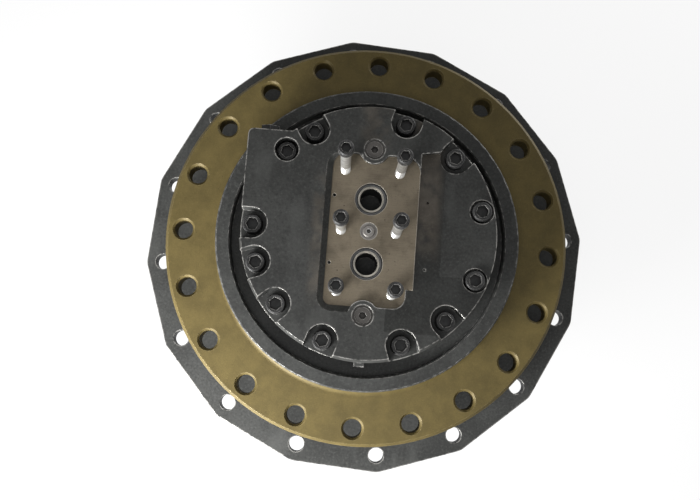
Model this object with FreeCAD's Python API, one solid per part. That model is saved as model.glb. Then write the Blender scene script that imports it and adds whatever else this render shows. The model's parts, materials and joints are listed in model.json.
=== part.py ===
"""Excavator final drive: hydraulic travel motor inside a two stage planetary hub.

Millimetres. +Z is the drive's own axis, motor side up. The origin is the centre of the flat
bottom of the gear cover, so the drive stands on it.
"""

import FreeCAD, Part
import math
import os

os.makedirs("parts", exist_ok=True)

V = FreeCAD.Vector
UP = V(0, 0, 1)

# Heights of the main faces
COVER_JOINT_Z = 40.0
HUB_JOINT_Z = 190.0
SPROCKET_FACE_Z = 259.0
HUB_TOP_Z = 312.0
FRAME_FACE_Z = 345.0
HEAD_SEAT_Z = 365.0
PILOT_TOP_Z = 385.5
HEAD_FLANGE_Z = 425.0

# Frame flange and pilot of the spindle
FRAME_FLANGE_R = 263.0
FRAME_FLANGE_THICK = 28.0
FRAME_BOLTS = 20
FRAME_PCD = 480.0
FRAME_HOLE_R = 12.0
FRAME_HOLE_CHAMFER = 2.5
FRAME_RIM_CHAMFER = 3.5
PILOT_R = 192.5
PILOT_INNER_R = 174.0
PILOT_FOOT_R = 6.5
PILOT_LIP = 1.5

# Sprocket flange of the hub
SPROCKET_THICK = 22.0
SPROCKET_BOLTS = 16
SPROCKET_PCD = 565.0
SPROCKET_HOLE_R = 10.5
SPROCKET_CORNER_R = 22.5
SPROCKET_PHASE = 7.42
SPROCKET_PILOT_R = 222.0
SPROCKET_PILOT_LENGTH = 12.0
SPROCKET_ROOT = 8.0
SHELL_R = 216.0

# Main bearings and floating seal
SPINDLE_R = 150.0
BEARING_OUTER_R = 190.0
BEARING_WIDTH = 40.0
BEARING_SHOULDER_R = 176.0
BEARING_ROLLERS = 36
ROLLER_R = 7.5
ROLLER_LENGTH = 30.0
ROLLER_TILT = math.radians(14.0)
CAGE_HALF_THICK = 1.6
LOWER_BEARING_Z = 198.0
UPPER_BEARING_Z = 246.0
SEAL_BORE_R = 212.0
SEAL_NECK_R = 195.0
SEAL_FACE_Z = 300.0
SEAL_RING_THICK = 9.0

# Gear train
MODULE = 6.0
PRESSURE_ANGLE = math.radians(20.0)
RING_TEETH = 60
SUN_1_TEETH = 12
SUN_2_TEETH = 18
PLANETS = 3
BACKLASH = 0.5
STAGE_1_Z = 50.0
STAGE_1_WIDTH = 34.0
STAGE_2_Z = 112.0
STAGE_2_WIDTH = 56.0
WASHER_THICK = 4.0
WASHER_WIDTH = 9.0
CARRIER_1_R = 150.0
CARRIER_1_THICK = 14.0
CARRIER_1_BORE_R = 40.0
SCALLOP_CIRCLE_R = 166.0
SCALLOP_R = 46.0
CARRIER_2_R = 160.0
CARRIER_2_THICK = 18.0
CARRIER_2_BORE_R = 50.0
CARRIER_BOLT_CIRCLE_R = 76.0
CARRIER_BOLT_R = 7.0
CARRIER_BOLT_HEAD_R = 10.0
CARRIER_BOLT_HEAD_HEIGHT = 10.0
CARRIER_BOLT_SOCKET = 11.0
CARRIER_BOLT_SOCKET_DEPTH = 5.0
CARRIER_BOLT_BITE = 20.0
PIN_CHAMFER = 1.5
PIN_1_R = 17.0
PIN_2_R = 24.0
RUNNING_FIT = 0.05
SUN_2_BORE_R = 25.0

# Through bolts that clamp cover, ring gear and hub
COVER_RIM_Z = 22.0
COVER_BOLTS = 16
COVER_BOLT_CIRCLE_R = 202.0
COVER_BOLT_R = 7.0
COVER_BOLT_HEAD_HEIGHT = 12.0
COVER_BOLT_HEAD_WIDTH = 22.0
COVER_BOLT_BITE = 24.0
COVER_PLUG_CIRCLE_R = 110.0
COVER_PLUG_R = 15.0
COVER_PLUG_SOCKET = 12.0
COVER_PLUG_FLOOR = 5.0
COVER_FOOT_R = 148.0
COVER_KNUCKLE_R = 180.0
COVER_MOUTH_R = 170.0
COVER_FLOOR_R = 144.0
COVER_WALL = 14.0
COVER_EDGE = 3.0
THRUST_BUTTON_R = 22.0
THRUST_BUTTON_CHAMFER = 6.0
THRUST_BUTTON_GAP = 0.5

# Rubber rings in the joints between the fixed pieces
JOINT_RING_R = 212.0
JOINT_RING_THICK = 2.6
HEAD_RING_R = 120.0
HEAD_RING_THICK = 4.0

# Travel motor
MOTOR_BORE_R = 108.0
FLOOR_Z = 216.0
SPLINE_R = 16.0
SHAFT_R = 20.0
SHAFT_TOP_R = 17.0
SHAFT_LOW_Z = 44.0
SHAFT_TOP_Z = 394.0
SHAFT_BEARING_R = 45.0
TOP_BEARING_R = 32.0
TOP_BEARING_DEPTH = 20.0
BARREL_R = 68.0
BARREL_Z = 282.0
VALVE_PLATE_Z = 357.0
PISTONS = 9
PISTON_CIRCLE_R = 46.0
PISTON_R = 9.0
PISTON_BALL_R = 7.0
PISTON_LENGTH = 58.0
PISTON_NECK_R = 4.5
PISTON_NECK_LENGTH = 9.0
SLIPPER_R = 12.0
SLIPPER_THICK = 5.0
SWASH_PIVOT_Z = 252.0
SWASH_ANGLE = 12.0
SWASH_R = 68.0
SWASH_THICK = 14.0
SWASH_BORE_R = 27.0
CRADLE_R = 30.0
CRADLE_INNER_X = 28.0
CRADLE_OUTER_X = 58.0
CRADLE_HALF_LENGTH = 28.0
CRADLE_HEIGHT = 11.0
KIDNEY_HALF_WIDTH = 4.5
KIDNEY_GAP = 14.0
BRAKE_Z = 296.0
BRAKE_DISCS = 3
BRAKE_DISC_THICK = 3.0
BRAKE_INNER_R = 76.0
BRAKE_FACE_R = 96.0
BRAKE_PISTON_THICK = 18.0

# Motor head
SCREW_HEAD_CHAMFER = 1.4
HEAD_R = 156.0
FACE_Z = 450.0
FACE_R = 153.0
LOW_FACE_Z = 436.0
NUB_HALF_WIDTH = 6.0
HEAD_SCREW_ANGLES = (15, 45, 75, 122, 139, 180, 199, 222, 251, 290, 315, 340)
PLAIN_POCKETS = (15, 139, 340)
HEAD_SCREW_CIRCLE_R = 140.5
HEAD_SCREW_R = 8.0
HEAD_SCREW_HEAD_R = 12.0
HEAD_SCREW_HEAD_HEIGHT = 16.0
HEAD_SCREW_DEPTH = 24.0
POCKET_R = 18.5
PLAIN_POCKET_R = 14.5
LUG_LEFT_X = -154.0
LUG_TOP_Y = 115.5
LUG_LOW_Z = 392.0
LUG_CORNER_R = 7.0
LUG_SIDE_LOW_Y = -6.0
SPOOL_X = -131.0
SPOOL_Z = 412.0
SPOOL_R = 10.0
SPOOL_BORE_Y = 22.0
SPOOL_LENGTH = 69.0
SPOOL_WAIST = 4.0
LUG_PLUG_COLLAR_R = 15.0
LUG_PLUG_COLLAR = 4.0
LUG_PLUG_HEX = 22.0
LUG_PLUG_HEX_HEIGHT = 8.5
PAD_Z = 444.0
PAD_LEFT_X = -48.0
PAD_RIGHT_X = 57.5
PAD_TOP_Y = 94.0
PAD_BOTTOM_Y = -90.0
PAD_SLOPE = 8.0
PAD_SLOPE_CORNER = 9.0
PAD_STEP_X = 9.0
PAD_STEP_Y = 24.0
PAD_TOP_RIGHT_R = 20.0
PAD_TOP_LEFT_R = 14.0
PAD_STEP_R = 15.0
RAMP_X = 89.0
# where the lower face's edge turns, beside the upper plug and at the rim
LOW_FACE_CORNERS = ((80.0, 103.0), (97.0, 124.0))
RAMP_END_LOW_Y = -46.0
RAMP_END_HIGH_Y = -118.0
PAD_PLUG_Y = 100.5
PAD_PLUG_R = 12.5
PAD_PLUG_DEPTH = 10.0
PAD_PLUG_RIM = 2.5
PAD_PLUG_SOCKET = 8.0
PAD_NOTCH_R = 18.0
PAD_NOTCH_CORNER_R = 6.0
PORT_Y = (-38.5, 40.0)
PORT_R = 13.5
PORT_DEPTH = 48.0
PORT_SEAL_R = 19.5
PORT_SEAL_DEPTH = 3.0
PORT_RING_R = 16.2
PORT_RING_THICK = 4.4
CENTRE_PLUG_Y = 1.0
CENTRE_PLUG_R = 10.5
CENTRE_PLUG_DEPTH = 12.0
CENTRE_PLUG_RIM = 3.0
CENTRE_PLUG_SOCKET = 5.0
PORT_SCREW_R = 6.0
PORT_SCREW_HEAD_R = 9.0
PORT_SCREW_HEAD_HEIGHT = 12.0
PORT_SCREW_DEPTH = 20.0
# place and radius of the small blind holes beside the pad's edges
DOWEL_HOLES = ((-44.5, 42.0, 2.0), (-44.5, -40.0, 2.0), (68.8, 41.0, 1.5), (70.0, -40.0, 1.5))
# place and height of the head above the port pad of each screw that stands in it
PORT_SCREWS = (
    (-33.5, 74.0, 113.0),
    (32.5, 74.0, 96.0),
    (-33.5, 0.5, 95.0),
    (32.5, 0.5, 105.0),
    (-33.5, -73.5, 82.0),
    (32.5, -73.5, 84.0),
)


def cylinder(radius, low, high, x=0.0, y=0.0):
    return Part.makeCylinder(radius, high - low, V(x, y, low))


def ring(inner, outer, low, high):
    return cylinder(outer, low, high).cut(cylinder(inner, low - 1, high + 1))


def box(x0, x1, y0, y1, z0, z1):
    return Part.makeBox(x1 - x0, y1 - y0, z1 - z0, V(x0, y0, z0))


def revolved(profile):
    """Solid of revolution about Z from the closed profile's (radius, height) points."""
    points = [V(r, 0, z) for r, z in profile]
    face = Part.Face(Part.makePolygon(points + points[:1]))
    return face.revolve(V(0, 0, 0), UP, 360)


def around(count, radius, phase=0.0):
    """Centres of count places spread evenly on a circle."""
    turns = [math.radians(phase + 360.0 * n / count) for n in range(count)]
    return [(radius * math.cos(a), radius * math.sin(a)) for a in turns]


def hex_prism(across_flats, low, high, x=0.0, y=0.0):
    corners = around(6, across_flats / math.sqrt(3))
    points = [V(x + cx, y + cy, low) for cx, cy in corners]
    face = Part.Face(Part.makePolygon(points + points[:1]))
    return face.extrude(V(0, 0, high - low))


def countersink(radius, chamfer, face_z, x, y):
    """Cone that takes the edge off a hole's mouth in an upward face."""
    return Part.makeCone(radius, radius + chamfer, chamfer, V(x, y, face_z - chamfer))


def circles(shape, radius, height):
    """The shape's circular edges about Z that have the given radius and height."""
    found = []
    for edge in shape.Edges:
        bounds = edge.BoundBox
        if bounds.ZLength < 0.01 and abs(bounds.ZMin - height) < 0.01 and abs(bounds.XMax - radius) < 0.01:
            found.append(edge)
    return found


def save(name, shape):
    solids = shape.Solids
    whole = solids[0] if len(solids) == 1 else Part.makeCompound(solids)
    whole.exportStep("parts/" + name + ".step")


def socket_screw(x, y, seat, head_r, head_height, shank_r, length):
    """Cap screw whose head rests on the height seat, with its shank below."""
    head = cylinder(head_r, seat, seat + head_height, x, y)
    head = head.makeChamfer(SCREW_HEAD_CHAMFER, [e for e in head.Edges if e.BoundBox.ZMin > seat + 1])
    socket = hex_prism(head_r * 1.15, seat + head_height * 0.5, seat + head_height, x, y)
    shank = cylinder(shank_r, seat - length, seat, x, y)
    return head.cut(socket).fuse(shank)


# ---------------------------------------------------------------- gears


def involute(angle):
    return math.tan(angle) - angle


def half_width_angle(teeth, radius, thickness):
    """Half the angle that a tooth of the given thickness at the pitch circle spans at radius."""
    pitch = MODULE * teeth / 2
    base = pitch * math.cos(PRESSURE_ANGLE)
    local = math.acos(min(base / radius, 1.0))
    return thickness / (2 * pitch) + involute(PRESSURE_ANGLE) - involute(local)


def tooth_outline(teeth, radii, thickness, phase, height):
    """Closed outline whose teeth run through the given radii, from root to tip."""
    points = []
    for tooth in range(teeth):
        middle = math.radians(phase) + 2 * math.pi * tooth / teeth
        widths = [half_width_angle(teeth, r, thickness) for r in radii]
        flank = [(r, middle - w) for r, w in zip(radii, widths)]
        back = [(r, middle + w) for r, w in zip(reversed(radii), reversed(widths))]
        points += [V(r * math.cos(a), r * math.sin(a), height) for r, a in flank + back]
    return Part.Face(Part.makePolygon(points + points[:1]))


def spur_gear(teeth, phase, low, width, bore):
    """External gear with a slightly thinned tooth, so that it runs with backlash."""
    pitch = MODULE * teeth / 2
    radii = (pitch - 1.2 * MODULE, pitch, pitch + 0.85 * MODULE)
    thickness = math.pi * MODULE / 2 - BACKLASH / 2
    face = tooth_outline(teeth, radii, thickness, phase, low)
    return face.extrude(V(0, 0, width)).cut(cylinder(bore, low - 1, low + width + 1))


def planet_circle(sun_teeth):
    return MODULE * (sun_teeth + planet_teeth(sun_teeth)) / 2


def planet_teeth(sun_teeth):
    return (RING_TEETH - sun_teeth) // 2


def planet_phase(sun_teeth, place):
    """Phase of a planet at the angle place, so that it meshes with the ring gear's tooth gaps."""
    teeth = planet_teeth(sun_teeth)
    return place - 360.0 / teeth * (place * RING_TEETH / 360.0 + 0.5)


def sun_phase(sun_teeth):
    """Phase of a sun gear that meshes with the planet at angle 0."""
    teeth = planet_teeth(sun_teeth)
    planet_share = (180.0 - planet_phase(sun_teeth, 0.0)) * teeth / 360.0
    return (planet_share - 0.5) * 360.0 / sun_teeth


def ring_gear():
    """Internally toothed ring between the cover and the hub; both stages run in it."""
    pitch = MODULE * RING_TEETH / 2
    radii = (pitch - 0.85 * MODULE, pitch, pitch + 1.2 * MODULE)
    space = math.pi * MODULE / 2 + BACKLASH
    gap_phase = 180.0 / RING_TEETH
    face = tooth_outline(RING_TEETH, radii, space, gap_phase, COVER_JOINT_Z - 1)
    teeth = face.extrude(V(0, 0, HUB_JOINT_Z - COVER_JOINT_Z + 2))
    body = cylinder(SHELL_R, COVER_JOINT_Z, HUB_JOINT_Z)
    return body.cut([teeth] + cover_bolt_holes(COVER_JOINT_Z - 1, HUB_JOINT_Z + 1))


def planets(stage, sun_teeth, low, width, pin_r):
    reach = planet_circle(sun_teeth)
    for number, (x, y) in enumerate(around(PLANETS, reach)):
        phase = planet_phase(sun_teeth, 360.0 * number / PLANETS)
        gear = spur_gear(planet_teeth(sun_teeth), phase, low, width, pin_r + RUNNING_FIT)
        gear.translate(V(x, y, 0))
        save("planet_%d_%s" % (stage, "abc"[number]), gear)


def stage_1_top():
    return STAGE_1_Z + STAGE_1_WIDTH + WASHER_THICK


def stage_2_top():
    return STAGE_2_Z + STAGE_2_WIDTH + WASHER_THICK


def pin_holes(sun_teeth, pin_r, low, high):
    return [cylinder(pin_r, low, high, x, y) for x, y in around(PLANETS, planet_circle(sun_teeth))]


def carrier_1():
    """First stage carrier: a plate that the pins are pressed into, lightened between them."""
    low = stage_1_top()
    high = low + CARRIER_1_THICK
    plate = ring(CARRIER_1_BORE_R, CARRIER_1_R, low, high)
    scallops = []
    for x, y in around(PLANETS, SCALLOP_CIRCLE_R, 60):
        scallops.append(cylinder(SCALLOP_R, low - 1, high + 1, x, y))
    return plate.cut(pin_holes(SUN_1_TEETH, PIN_1_R, low - 1, high + 1) + scallops)


def carrier_2():
    """Second stage carrier, bolted to the end of the spindle, so it stands still."""
    low = stage_2_top()
    plate = ring(CARRIER_2_BORE_R, CARRIER_2_R, low, HUB_JOINT_Z)
    bolts = []
    for x, y in carrier_bolt_places():
        bolts.append(cylinder(CARRIER_BOLT_R, low - 1, HUB_JOINT_Z + 1, x, y))
    return plate.cut(pin_holes(SUN_2_TEETH, PIN_2_R, low - 1, HUB_JOINT_Z + 1) + bolts)


def carrier_bolt_places():
    return around(PLANETS, CARRIER_BOLT_CIRCLE_R, 46) + around(PLANETS, CARRIER_BOLT_CIRCLE_R, 74)


def carrier_bolts():
    """Socket screws up through the second carrier into the spindle."""
    bolts = []
    low = stage_2_top()
    for x, y in carrier_bolt_places():
        bottom = low - CARRIER_BOLT_HEAD_HEIGHT
        head = cylinder(CARRIER_BOLT_HEAD_R, bottom, low, x, y)
        head = head.cut(hex_prism(CARRIER_BOLT_SOCKET, bottom, bottom + CARRIER_BOLT_SOCKET_DEPTH, x, y))
        shank = cylinder(CARRIER_BOLT_R, low, HUB_JOINT_Z + CARRIER_BOLT_BITE - 2, x, y)
        bolts.append(head.fuse(shank))
    return Part.makeCompound(bolts)


def pins(sun_teeth, pin_r, low, high):
    bodies = []
    for x, y in around(PLANETS, planet_circle(sun_teeth)):
        pin = cylinder(pin_r, low, high, x, y)
        bodies.append(pin.makeChamfer(PIN_CHAMFER, [e for e in pin.Edges if e.BoundBox.ZLength < 0.01]))
    return Part.makeCompound(bodies)


def washers(sun_teeth, pin_r, low, width):
    """Thrust washers above and below each planet gear."""
    bodies = []
    for x, y in around(PLANETS, planet_circle(sun_teeth)):
        for bottom in (low - WASHER_THICK, low + width):
            washer = ring(pin_r, pin_r + WASHER_WIDTH, bottom + 0.1, bottom + WASHER_THICK - 0.1)
            bodies.append(washer.translated(V(x, y, 0)))
    return Part.makeCompound(bodies)


def sun_1():
    return spur_gear(SUN_1_TEETH, sun_phase(SUN_1_TEETH), STAGE_1_Z, STAGE_1_WIDTH, SPLINE_R)


def sun_2():
    """Second sun with the neck that is splined into the first carrier."""
    phase = sun_phase(SUN_2_TEETH)
    gear = spur_gear(SUN_2_TEETH, phase, STAGE_2_Z, STAGE_2_WIDTH, SUN_2_BORE_R)
    neck = ring(SUN_2_BORE_R, CARRIER_1_BORE_R, stage_1_top(), STAGE_2_Z)
    return gear.fuse(neck)


# ---------------------------------------------------------------- hub side


def polygon_plate(low, thick):
    """Sixteen sided plate whose corners are rounded about the bolt holes."""
    centres = around(SPROCKET_BOLTS, SPROCKET_PCD / 2, SPROCKET_PHASE)
    points = [V(x, y, low) for x, y in centres]
    outline = Part.makePolygon(points + points[:1]).makeOffset2D(SPROCKET_CORNER_R)
    plate = Part.Face(outline).extrude(V(0, 0, thick))
    holes = [cylinder(SPROCKET_HOLE_R, low - 1, low + thick + 1, x, y) for x, y in centres]
    return plate.cut(holes)


def cover_bolt_holes(low, high):
    places = around(COVER_BOLTS, COVER_BOLT_CIRCLE_R)
    return [cylinder(COVER_BOLT_R, low, high, x, y) for x, y in places]


def hub():
    """Hub shell with the sprocket's flange, its pilot ledge and the bearing seats."""
    low = SPROCKET_FACE_Z - SPROCKET_THICK
    upper = UPPER_BEARING_Z + BEARING_WIDTH
    lower = LOWER_BEARING_Z + BEARING_WIDTH
    shell = revolved(
        [
            (SHELL_R, HUB_JOINT_Z),
            (SHELL_R, low - SPROCKET_PILOT_LENGTH - 6),
            (SPROCKET_PILOT_R, low - SPROCKET_PILOT_LENGTH),
            (SPROCKET_PILOT_R, low),
            (SPROCKET_PILOT_R + SPROCKET_ROOT, low),
            (SPROCKET_PILOT_R + SPROCKET_ROOT, SPROCKET_FACE_Z),
            (SPROCKET_PILOT_R, SPROCKET_FACE_Z + SPROCKET_ROOT),
            (SPROCKET_PILOT_R, HUB_TOP_Z - 3),
            (SPROCKET_PILOT_R - 3, HUB_TOP_Z),
            (SEAL_BORE_R, HUB_TOP_Z),
            (SEAL_BORE_R, upper + 2),
            (BEARING_OUTER_R, upper + 2),
            (BEARING_OUTER_R, UPPER_BEARING_Z),
            (BEARING_SHOULDER_R, UPPER_BEARING_Z),
            (BEARING_SHOULDER_R, lower),
            (BEARING_OUTER_R, lower),
            (BEARING_OUTER_R, HUB_JOINT_Z),
        ]
    )
    core = cylinder(SPROCKET_PILOT_R, low - 1, SPROCKET_FACE_Z + 1)
    body = polygon_plate(low, SPROCKET_THICK).cut(core).fuse(shell)
    groove = ring_groove(JOINT_RING_R, JOINT_RING_THICK, HUB_JOINT_Z, 1)
    return body.cut(cover_bolt_holes(HUB_JOINT_Z - 1, HUB_JOINT_Z + COVER_BOLT_BITE) + [groove])


def gear_cover():
    """Dished cover with a rim for its bolts and a flat bottom that the drive stands on."""
    cover = revolved(
        [
            (0, 0),
            (COVER_FOOT_R, 0),
            (COVER_FOOT_R + 6, COVER_EDGE),
            (COVER_KNUCKLE_R, COVER_RIM_Z),
            (SHELL_R - COVER_EDGE, COVER_RIM_Z),
            (SHELL_R, COVER_RIM_Z + COVER_EDGE),
            (SHELL_R, COVER_JOINT_Z),
            (COVER_MOUTH_R, COVER_JOINT_Z),
            (COVER_FLOOR_R, COVER_WALL),
            (0, COVER_WALL),
        ]
    )
    plugs = [cylinder(COVER_PLUG_R, -1, COVER_WALL + 1, x, y) for x, y in cover_plug_places()]
    groove = ring_groove(JOINT_RING_R, JOINT_RING_THICK, COVER_JOINT_Z, -1)
    return cover.cut(cover_bolt_holes(COVER_RIM_Z - 1, COVER_JOINT_Z + 1) + plugs + [groove])


def cover_plug_places():
    return around(3, COVER_PLUG_CIRCLE_R, 30)


def cover_plugs():
    """Fill, level and drain plugs, sunk flush with the cover's flat bottom."""
    plugs = []
    for x, y in cover_plug_places():
        plug = cylinder(COVER_PLUG_R, 1, COVER_WALL, x, y)
        plug = plug.cut(hex_prism(COVER_PLUG_SOCKET, 0, COVER_WALL - COVER_PLUG_FLOOR, x, y))
        plugs.append(plug)
    return Part.makeCompound(plugs)


def thrust_button():
    """Wear button in the middle of the cover, just under the end of the motor shaft."""
    button = cylinder(THRUST_BUTTON_R, COVER_WALL, SHAFT_LOW_Z - THRUST_BUTTON_GAP)
    top_edges = [e for e in button.Edges if e.BoundBox.ZMin > COVER_WALL + 1]
    return button.makeChamfer(THRUST_BUTTON_CHAMFER, top_edges)


def cover_bolts():
    """Hexagon bolts from under the cover, through the ring gear, into the hub."""
    bolts = []
    for x, y in around(COVER_BOLTS, COVER_BOLT_CIRCLE_R):
        head = hex_prism(COVER_BOLT_HEAD_WIDTH, COVER_RIM_Z - COVER_BOLT_HEAD_HEIGHT, COVER_RIM_Z, x, y)
        shank = cylinder(COVER_BOLT_R, COVER_RIM_Z, HUB_JOINT_Z + COVER_BOLT_BITE - 2, x, y)
        bolts.append(head.fuse(shank))
    return Part.makeCompound(bolts)


# ---------------------------------------------------------------- bearings and seals


def roller_middle_r():
    return (SPINDLE_R + BEARING_OUTER_R) / 2


def race(side, low, sense):
    """Inner (side -1) or outer (side 1) race of a taper roller bearing.

    The rollers lean outward going up when sense is 1, and outward going down when it is -1.
    """
    slope = sense * math.tan(ROLLER_TILT)
    clear = side * (ROLLER_R + RUNNING_FIT) / math.cos(ROLLER_TILT)
    middle = roller_middle_r() + clear
    half = BEARING_WIDTH / 2
    seat = SPINDLE_R if side < 0 else BEARING_OUTER_R
    return revolved(
        [
            (seat, low),
            (middle - slope * half, low),
            (middle + slope * half, low + BEARING_WIDTH),
            (seat, low + BEARING_WIDTH),
        ]
    )


def rollers(low, sense, extra_r=0.0, extra_length=0.0):
    """Cylinders that lean along the race, spread round the bearing."""
    shapes = []
    length = ROLLER_LENGTH + extra_length
    for x, y in around(BEARING_ROLLERS, roller_middle_r()):
        outward = V(x, y, 0).normalize()
        axis = UP * math.cos(ROLLER_TILT) + outward * (sense * math.sin(ROLLER_TILT))
        start = V(x, y, low + BEARING_WIDTH / 2) - axis * (length / 2)
        shapes.append(Part.makeCylinder(ROLLER_R + extra_r, length, start, axis))
    return shapes


def cage(low, sense):
    """Slanted pressed ring with a window for each roller."""
    slope = sense * math.tan(ROLLER_TILT)
    half = ROLLER_LENGTH / 2 + 2
    middle_z = low + BEARING_WIDTH / 2
    thin = CAGE_HALF_THICK
    band = [(-thin, -half), (thin, -half), (thin, half), (-thin, half)]
    profile = [(roller_middle_r() + dr + slope * dz, middle_z + dz) for dr, dz in band]
    return revolved(profile).cut(rollers(low, sense, 0.3, 0.6))


def main_bearings():
    for name, low, sense in (("lower", LOWER_BEARING_Z, -1), ("upper", UPPER_BEARING_Z, 1)):
        save(name + "_bearing_inner_race", race(-1, low, sense))
        save(name + "_bearing_outer_race", race(1, low, sense))
        save(name + "_bearing_rollers", Part.makeCompound(rollers(low, sense)))
        save(name + "_bearing_cage", cage(low, sense))


def rubber_ring(middle_r, thick, low, x=0.0, y=0.0):
    """Rubber ring whose section is a square with its corners off."""
    half = thick / 2
    flat = half * 0.45
    section = [(flat, -half), (half, -flat), (half, flat), (flat, half)]
    section += [(-r, -z) for r, z in section]
    seal = revolved([(middle_r + r, low + half + z) for r, z in section])
    return seal.translated(V(x, y, 0))


def ring_groove(middle_r, thick, face_z, sense):
    """Groove for a rubber ring, cut up (sense 1) or down (sense -1) from a face."""
    width = thick / 2 + 0.2
    low, high = sorted((face_z - sense, face_z + sense * (thick + 0.2)))
    return ring(middle_r - width, middle_r + width, low, high)


def joint_rings():
    """Rubber rings in the faces above and below the ring gear."""
    below = rubber_ring(JOINT_RING_R, JOINT_RING_THICK, COVER_JOINT_Z - JOINT_RING_THICK - 0.1)
    above = rubber_ring(JOINT_RING_R, JOINT_RING_THICK, HUB_JOINT_Z + 0.1)
    return Part.makeCompound([below, above])


def head_ring():
    """Rubber ring between the motor head and its seat on the spindle."""
    return rubber_ring(HEAD_RING_R, HEAD_RING_THICK, HEAD_SEAT_Z + 0.1)


def seal_ring(face_z, sense):
    """Metal ring of the floating seal: a thin running face and a slanted back for its rubber."""
    return revolved(
        [
            (SEAL_NECK_R + 3, face_z),
            (SEAL_BORE_R - 2, face_z),
            (SEAL_BORE_R - 2, face_z + sense * 2.5),
            (SEAL_NECK_R + 8, face_z + sense * 5),
            (SEAL_NECK_R + 7, face_z + sense * SEAL_RING_THICK),
            (SEAL_NECK_R + 3, face_z + sense * SEAL_RING_THICK),
        ]
    )


def seal_rubber(face_z, sense):
    """Rubber ring that carries a metal seal ring in its housing."""
    middle_z = face_z + sense * 8.2
    return rubber_ring(SEAL_BORE_R - 4.6, 6.4, middle_z - 3.2)


# ---------------------------------------------------------------- spindle


def spindle():
    """Fixed spindle: frame flange, pilot ring, motor bore and the two bearing seats."""
    flange_low = FRAME_FACE_Z - FRAME_FLANGE_THICK
    body = revolved(
        [
            (SHAFT_BEARING_R, HUB_JOINT_Z),
            (SPINDLE_R, HUB_JOINT_Z),
            (SPINDLE_R, UPPER_BEARING_Z + BEARING_WIDTH),
            (SEAL_NECK_R, UPPER_BEARING_Z + BEARING_WIDTH + 6),
            (SEAL_NECK_R, flange_low),
            (FRAME_FLANGE_R - 1, flange_low),
            (FRAME_FLANGE_R, flange_low + 1),
            (FRAME_FLANGE_R, FRAME_FACE_Z - FRAME_RIM_CHAMFER),
            (FRAME_FLANGE_R - FRAME_RIM_CHAMFER, FRAME_FACE_Z),
            (PILOT_R, FRAME_FACE_Z),
            (PILOT_R, PILOT_TOP_Z - PILOT_LIP),
            (PILOT_R - PILOT_LIP, PILOT_TOP_Z),
            (PILOT_INNER_R + PILOT_LIP, PILOT_TOP_Z),
            (PILOT_INNER_R, PILOT_TOP_Z - PILOT_LIP),
            (PILOT_INNER_R, HEAD_SEAT_Z),
            (MOTOR_BORE_R, HEAD_SEAT_Z),
            (MOTOR_BORE_R, FLOOR_Z),
            (SHAFT_BEARING_R, FLOOR_Z),
        ]
    )
    body = body.makeFillet(PILOT_FOOT_R, circles(body, PILOT_R, FRAME_FACE_Z))
    cuts = []
    for x, y in around(FRAME_BOLTS, FRAME_PCD / 2):
        cuts.append(cylinder(FRAME_HOLE_R, flange_low - 1, FRAME_FACE_Z + 1, x, y))
        cuts.append(countersink(FRAME_HOLE_R, FRAME_HOLE_CHAMFER, FRAME_FACE_Z, x, y))
    for x, y in head_screw_places():
        cuts.append(cylinder(HEAD_SCREW_R, HEAD_SEAT_Z - HEAD_SCREW_DEPTH, HEAD_SEAT_Z + 1, x, y))
    for x, y in carrier_bolt_places():
        cuts.append(cylinder(CARRIER_BOLT_R, HUB_JOINT_Z - 1, HUB_JOINT_Z + CARRIER_BOLT_BITE, x, y))
    return body.cut(cuts)


# ---------------------------------------------------------------- travel motor


def motor_shaft():
    """Stepped shaft from the first sun gear up to the bearing in the motor head."""
    return revolved(
        [
            (0, SHAFT_LOW_Z),
            (SPLINE_R - 2, SHAFT_LOW_Z),
            (SPLINE_R, SHAFT_LOW_Z + 2),
            (SPLINE_R, STAGE_2_Z),
            (SHAFT_R, STAGE_2_Z + 6),
            (SHAFT_R, HEAD_SEAT_Z),
            (SHAFT_TOP_R, HEAD_SEAT_Z),
            (SHAFT_TOP_R, SHAFT_TOP_Z - 2),
            (SHAFT_TOP_R - 2, SHAFT_TOP_Z),
            (0, SHAFT_TOP_Z),
        ]
    )


def swash_face_z(y, angle=SWASH_ANGLE):
    return SWASH_PIVOT_Z + y * math.tan(math.radians(angle))


def cylinder_barrel():
    """Barrel with a bore for each piston and a slot to each bore from its flat top."""
    barrel = ring(SHAFT_R, BARREL_R, BARREL_Z, VALVE_PLATE_Z - RUNNING_FIT)
    cuts = []
    for x, y in around(PISTONS, PISTON_CIRCLE_R, 90):
        cuts.append(cylinder(PISTON_R, BARREL_Z - 1, VALVE_PLATE_Z - 10, x, y))
        cuts.append(cylinder(PISTON_R / 2, VALVE_PLATE_Z - 11, VALVE_PLATE_Z + 1, x, y))
    return barrel.cut(cuts)


def tilted(shape):
    """The shape turned with the swash plate about its own pivot axis."""
    shape.rotate(V(0, 0, SWASH_PIVOT_Z), V(1, 0, 0), SWASH_ANGLE)
    return shape


def pistons():
    """Pistons at the strokes that the tilted plate gives them, each with its ball and slipper."""
    bodies = []
    lean = math.radians(SWASH_ANGLE)
    normal = V(0, -math.sin(lean), math.cos(lean))
    for x, y in around(PISTONS, PISTON_CIRCLE_R, 90):
        foot = V(x, y, swash_face_z(y)) + normal * RUNNING_FIT
        ball = foot + normal * (SLIPPER_THICK + PISTON_BALL_R - 2)
        shoulder_z = ball.z + PISTON_NECK_LENGTH - 1
        rod = cylinder(PISTON_R - RUNNING_FIT, shoulder_z, ball.z + PISTON_LENGTH, ball.x, y)
        neck = Part.makeCone(PISTON_BALL_R - 1, PISTON_NECK_R, PISTON_NECK_LENGTH, ball, UP)
        slipper = Part.makeCylinder(SLIPPER_R, SLIPPER_THICK, foot, normal)
        socket = Part.makeCylinder(PISTON_BALL_R + 1.5, SLIPPER_THICK + PISTON_BALL_R, foot, normal)
        bodies.append(rod.fuse([neck, slipper, socket]))
    return Part.makeCompound(bodies)


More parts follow.
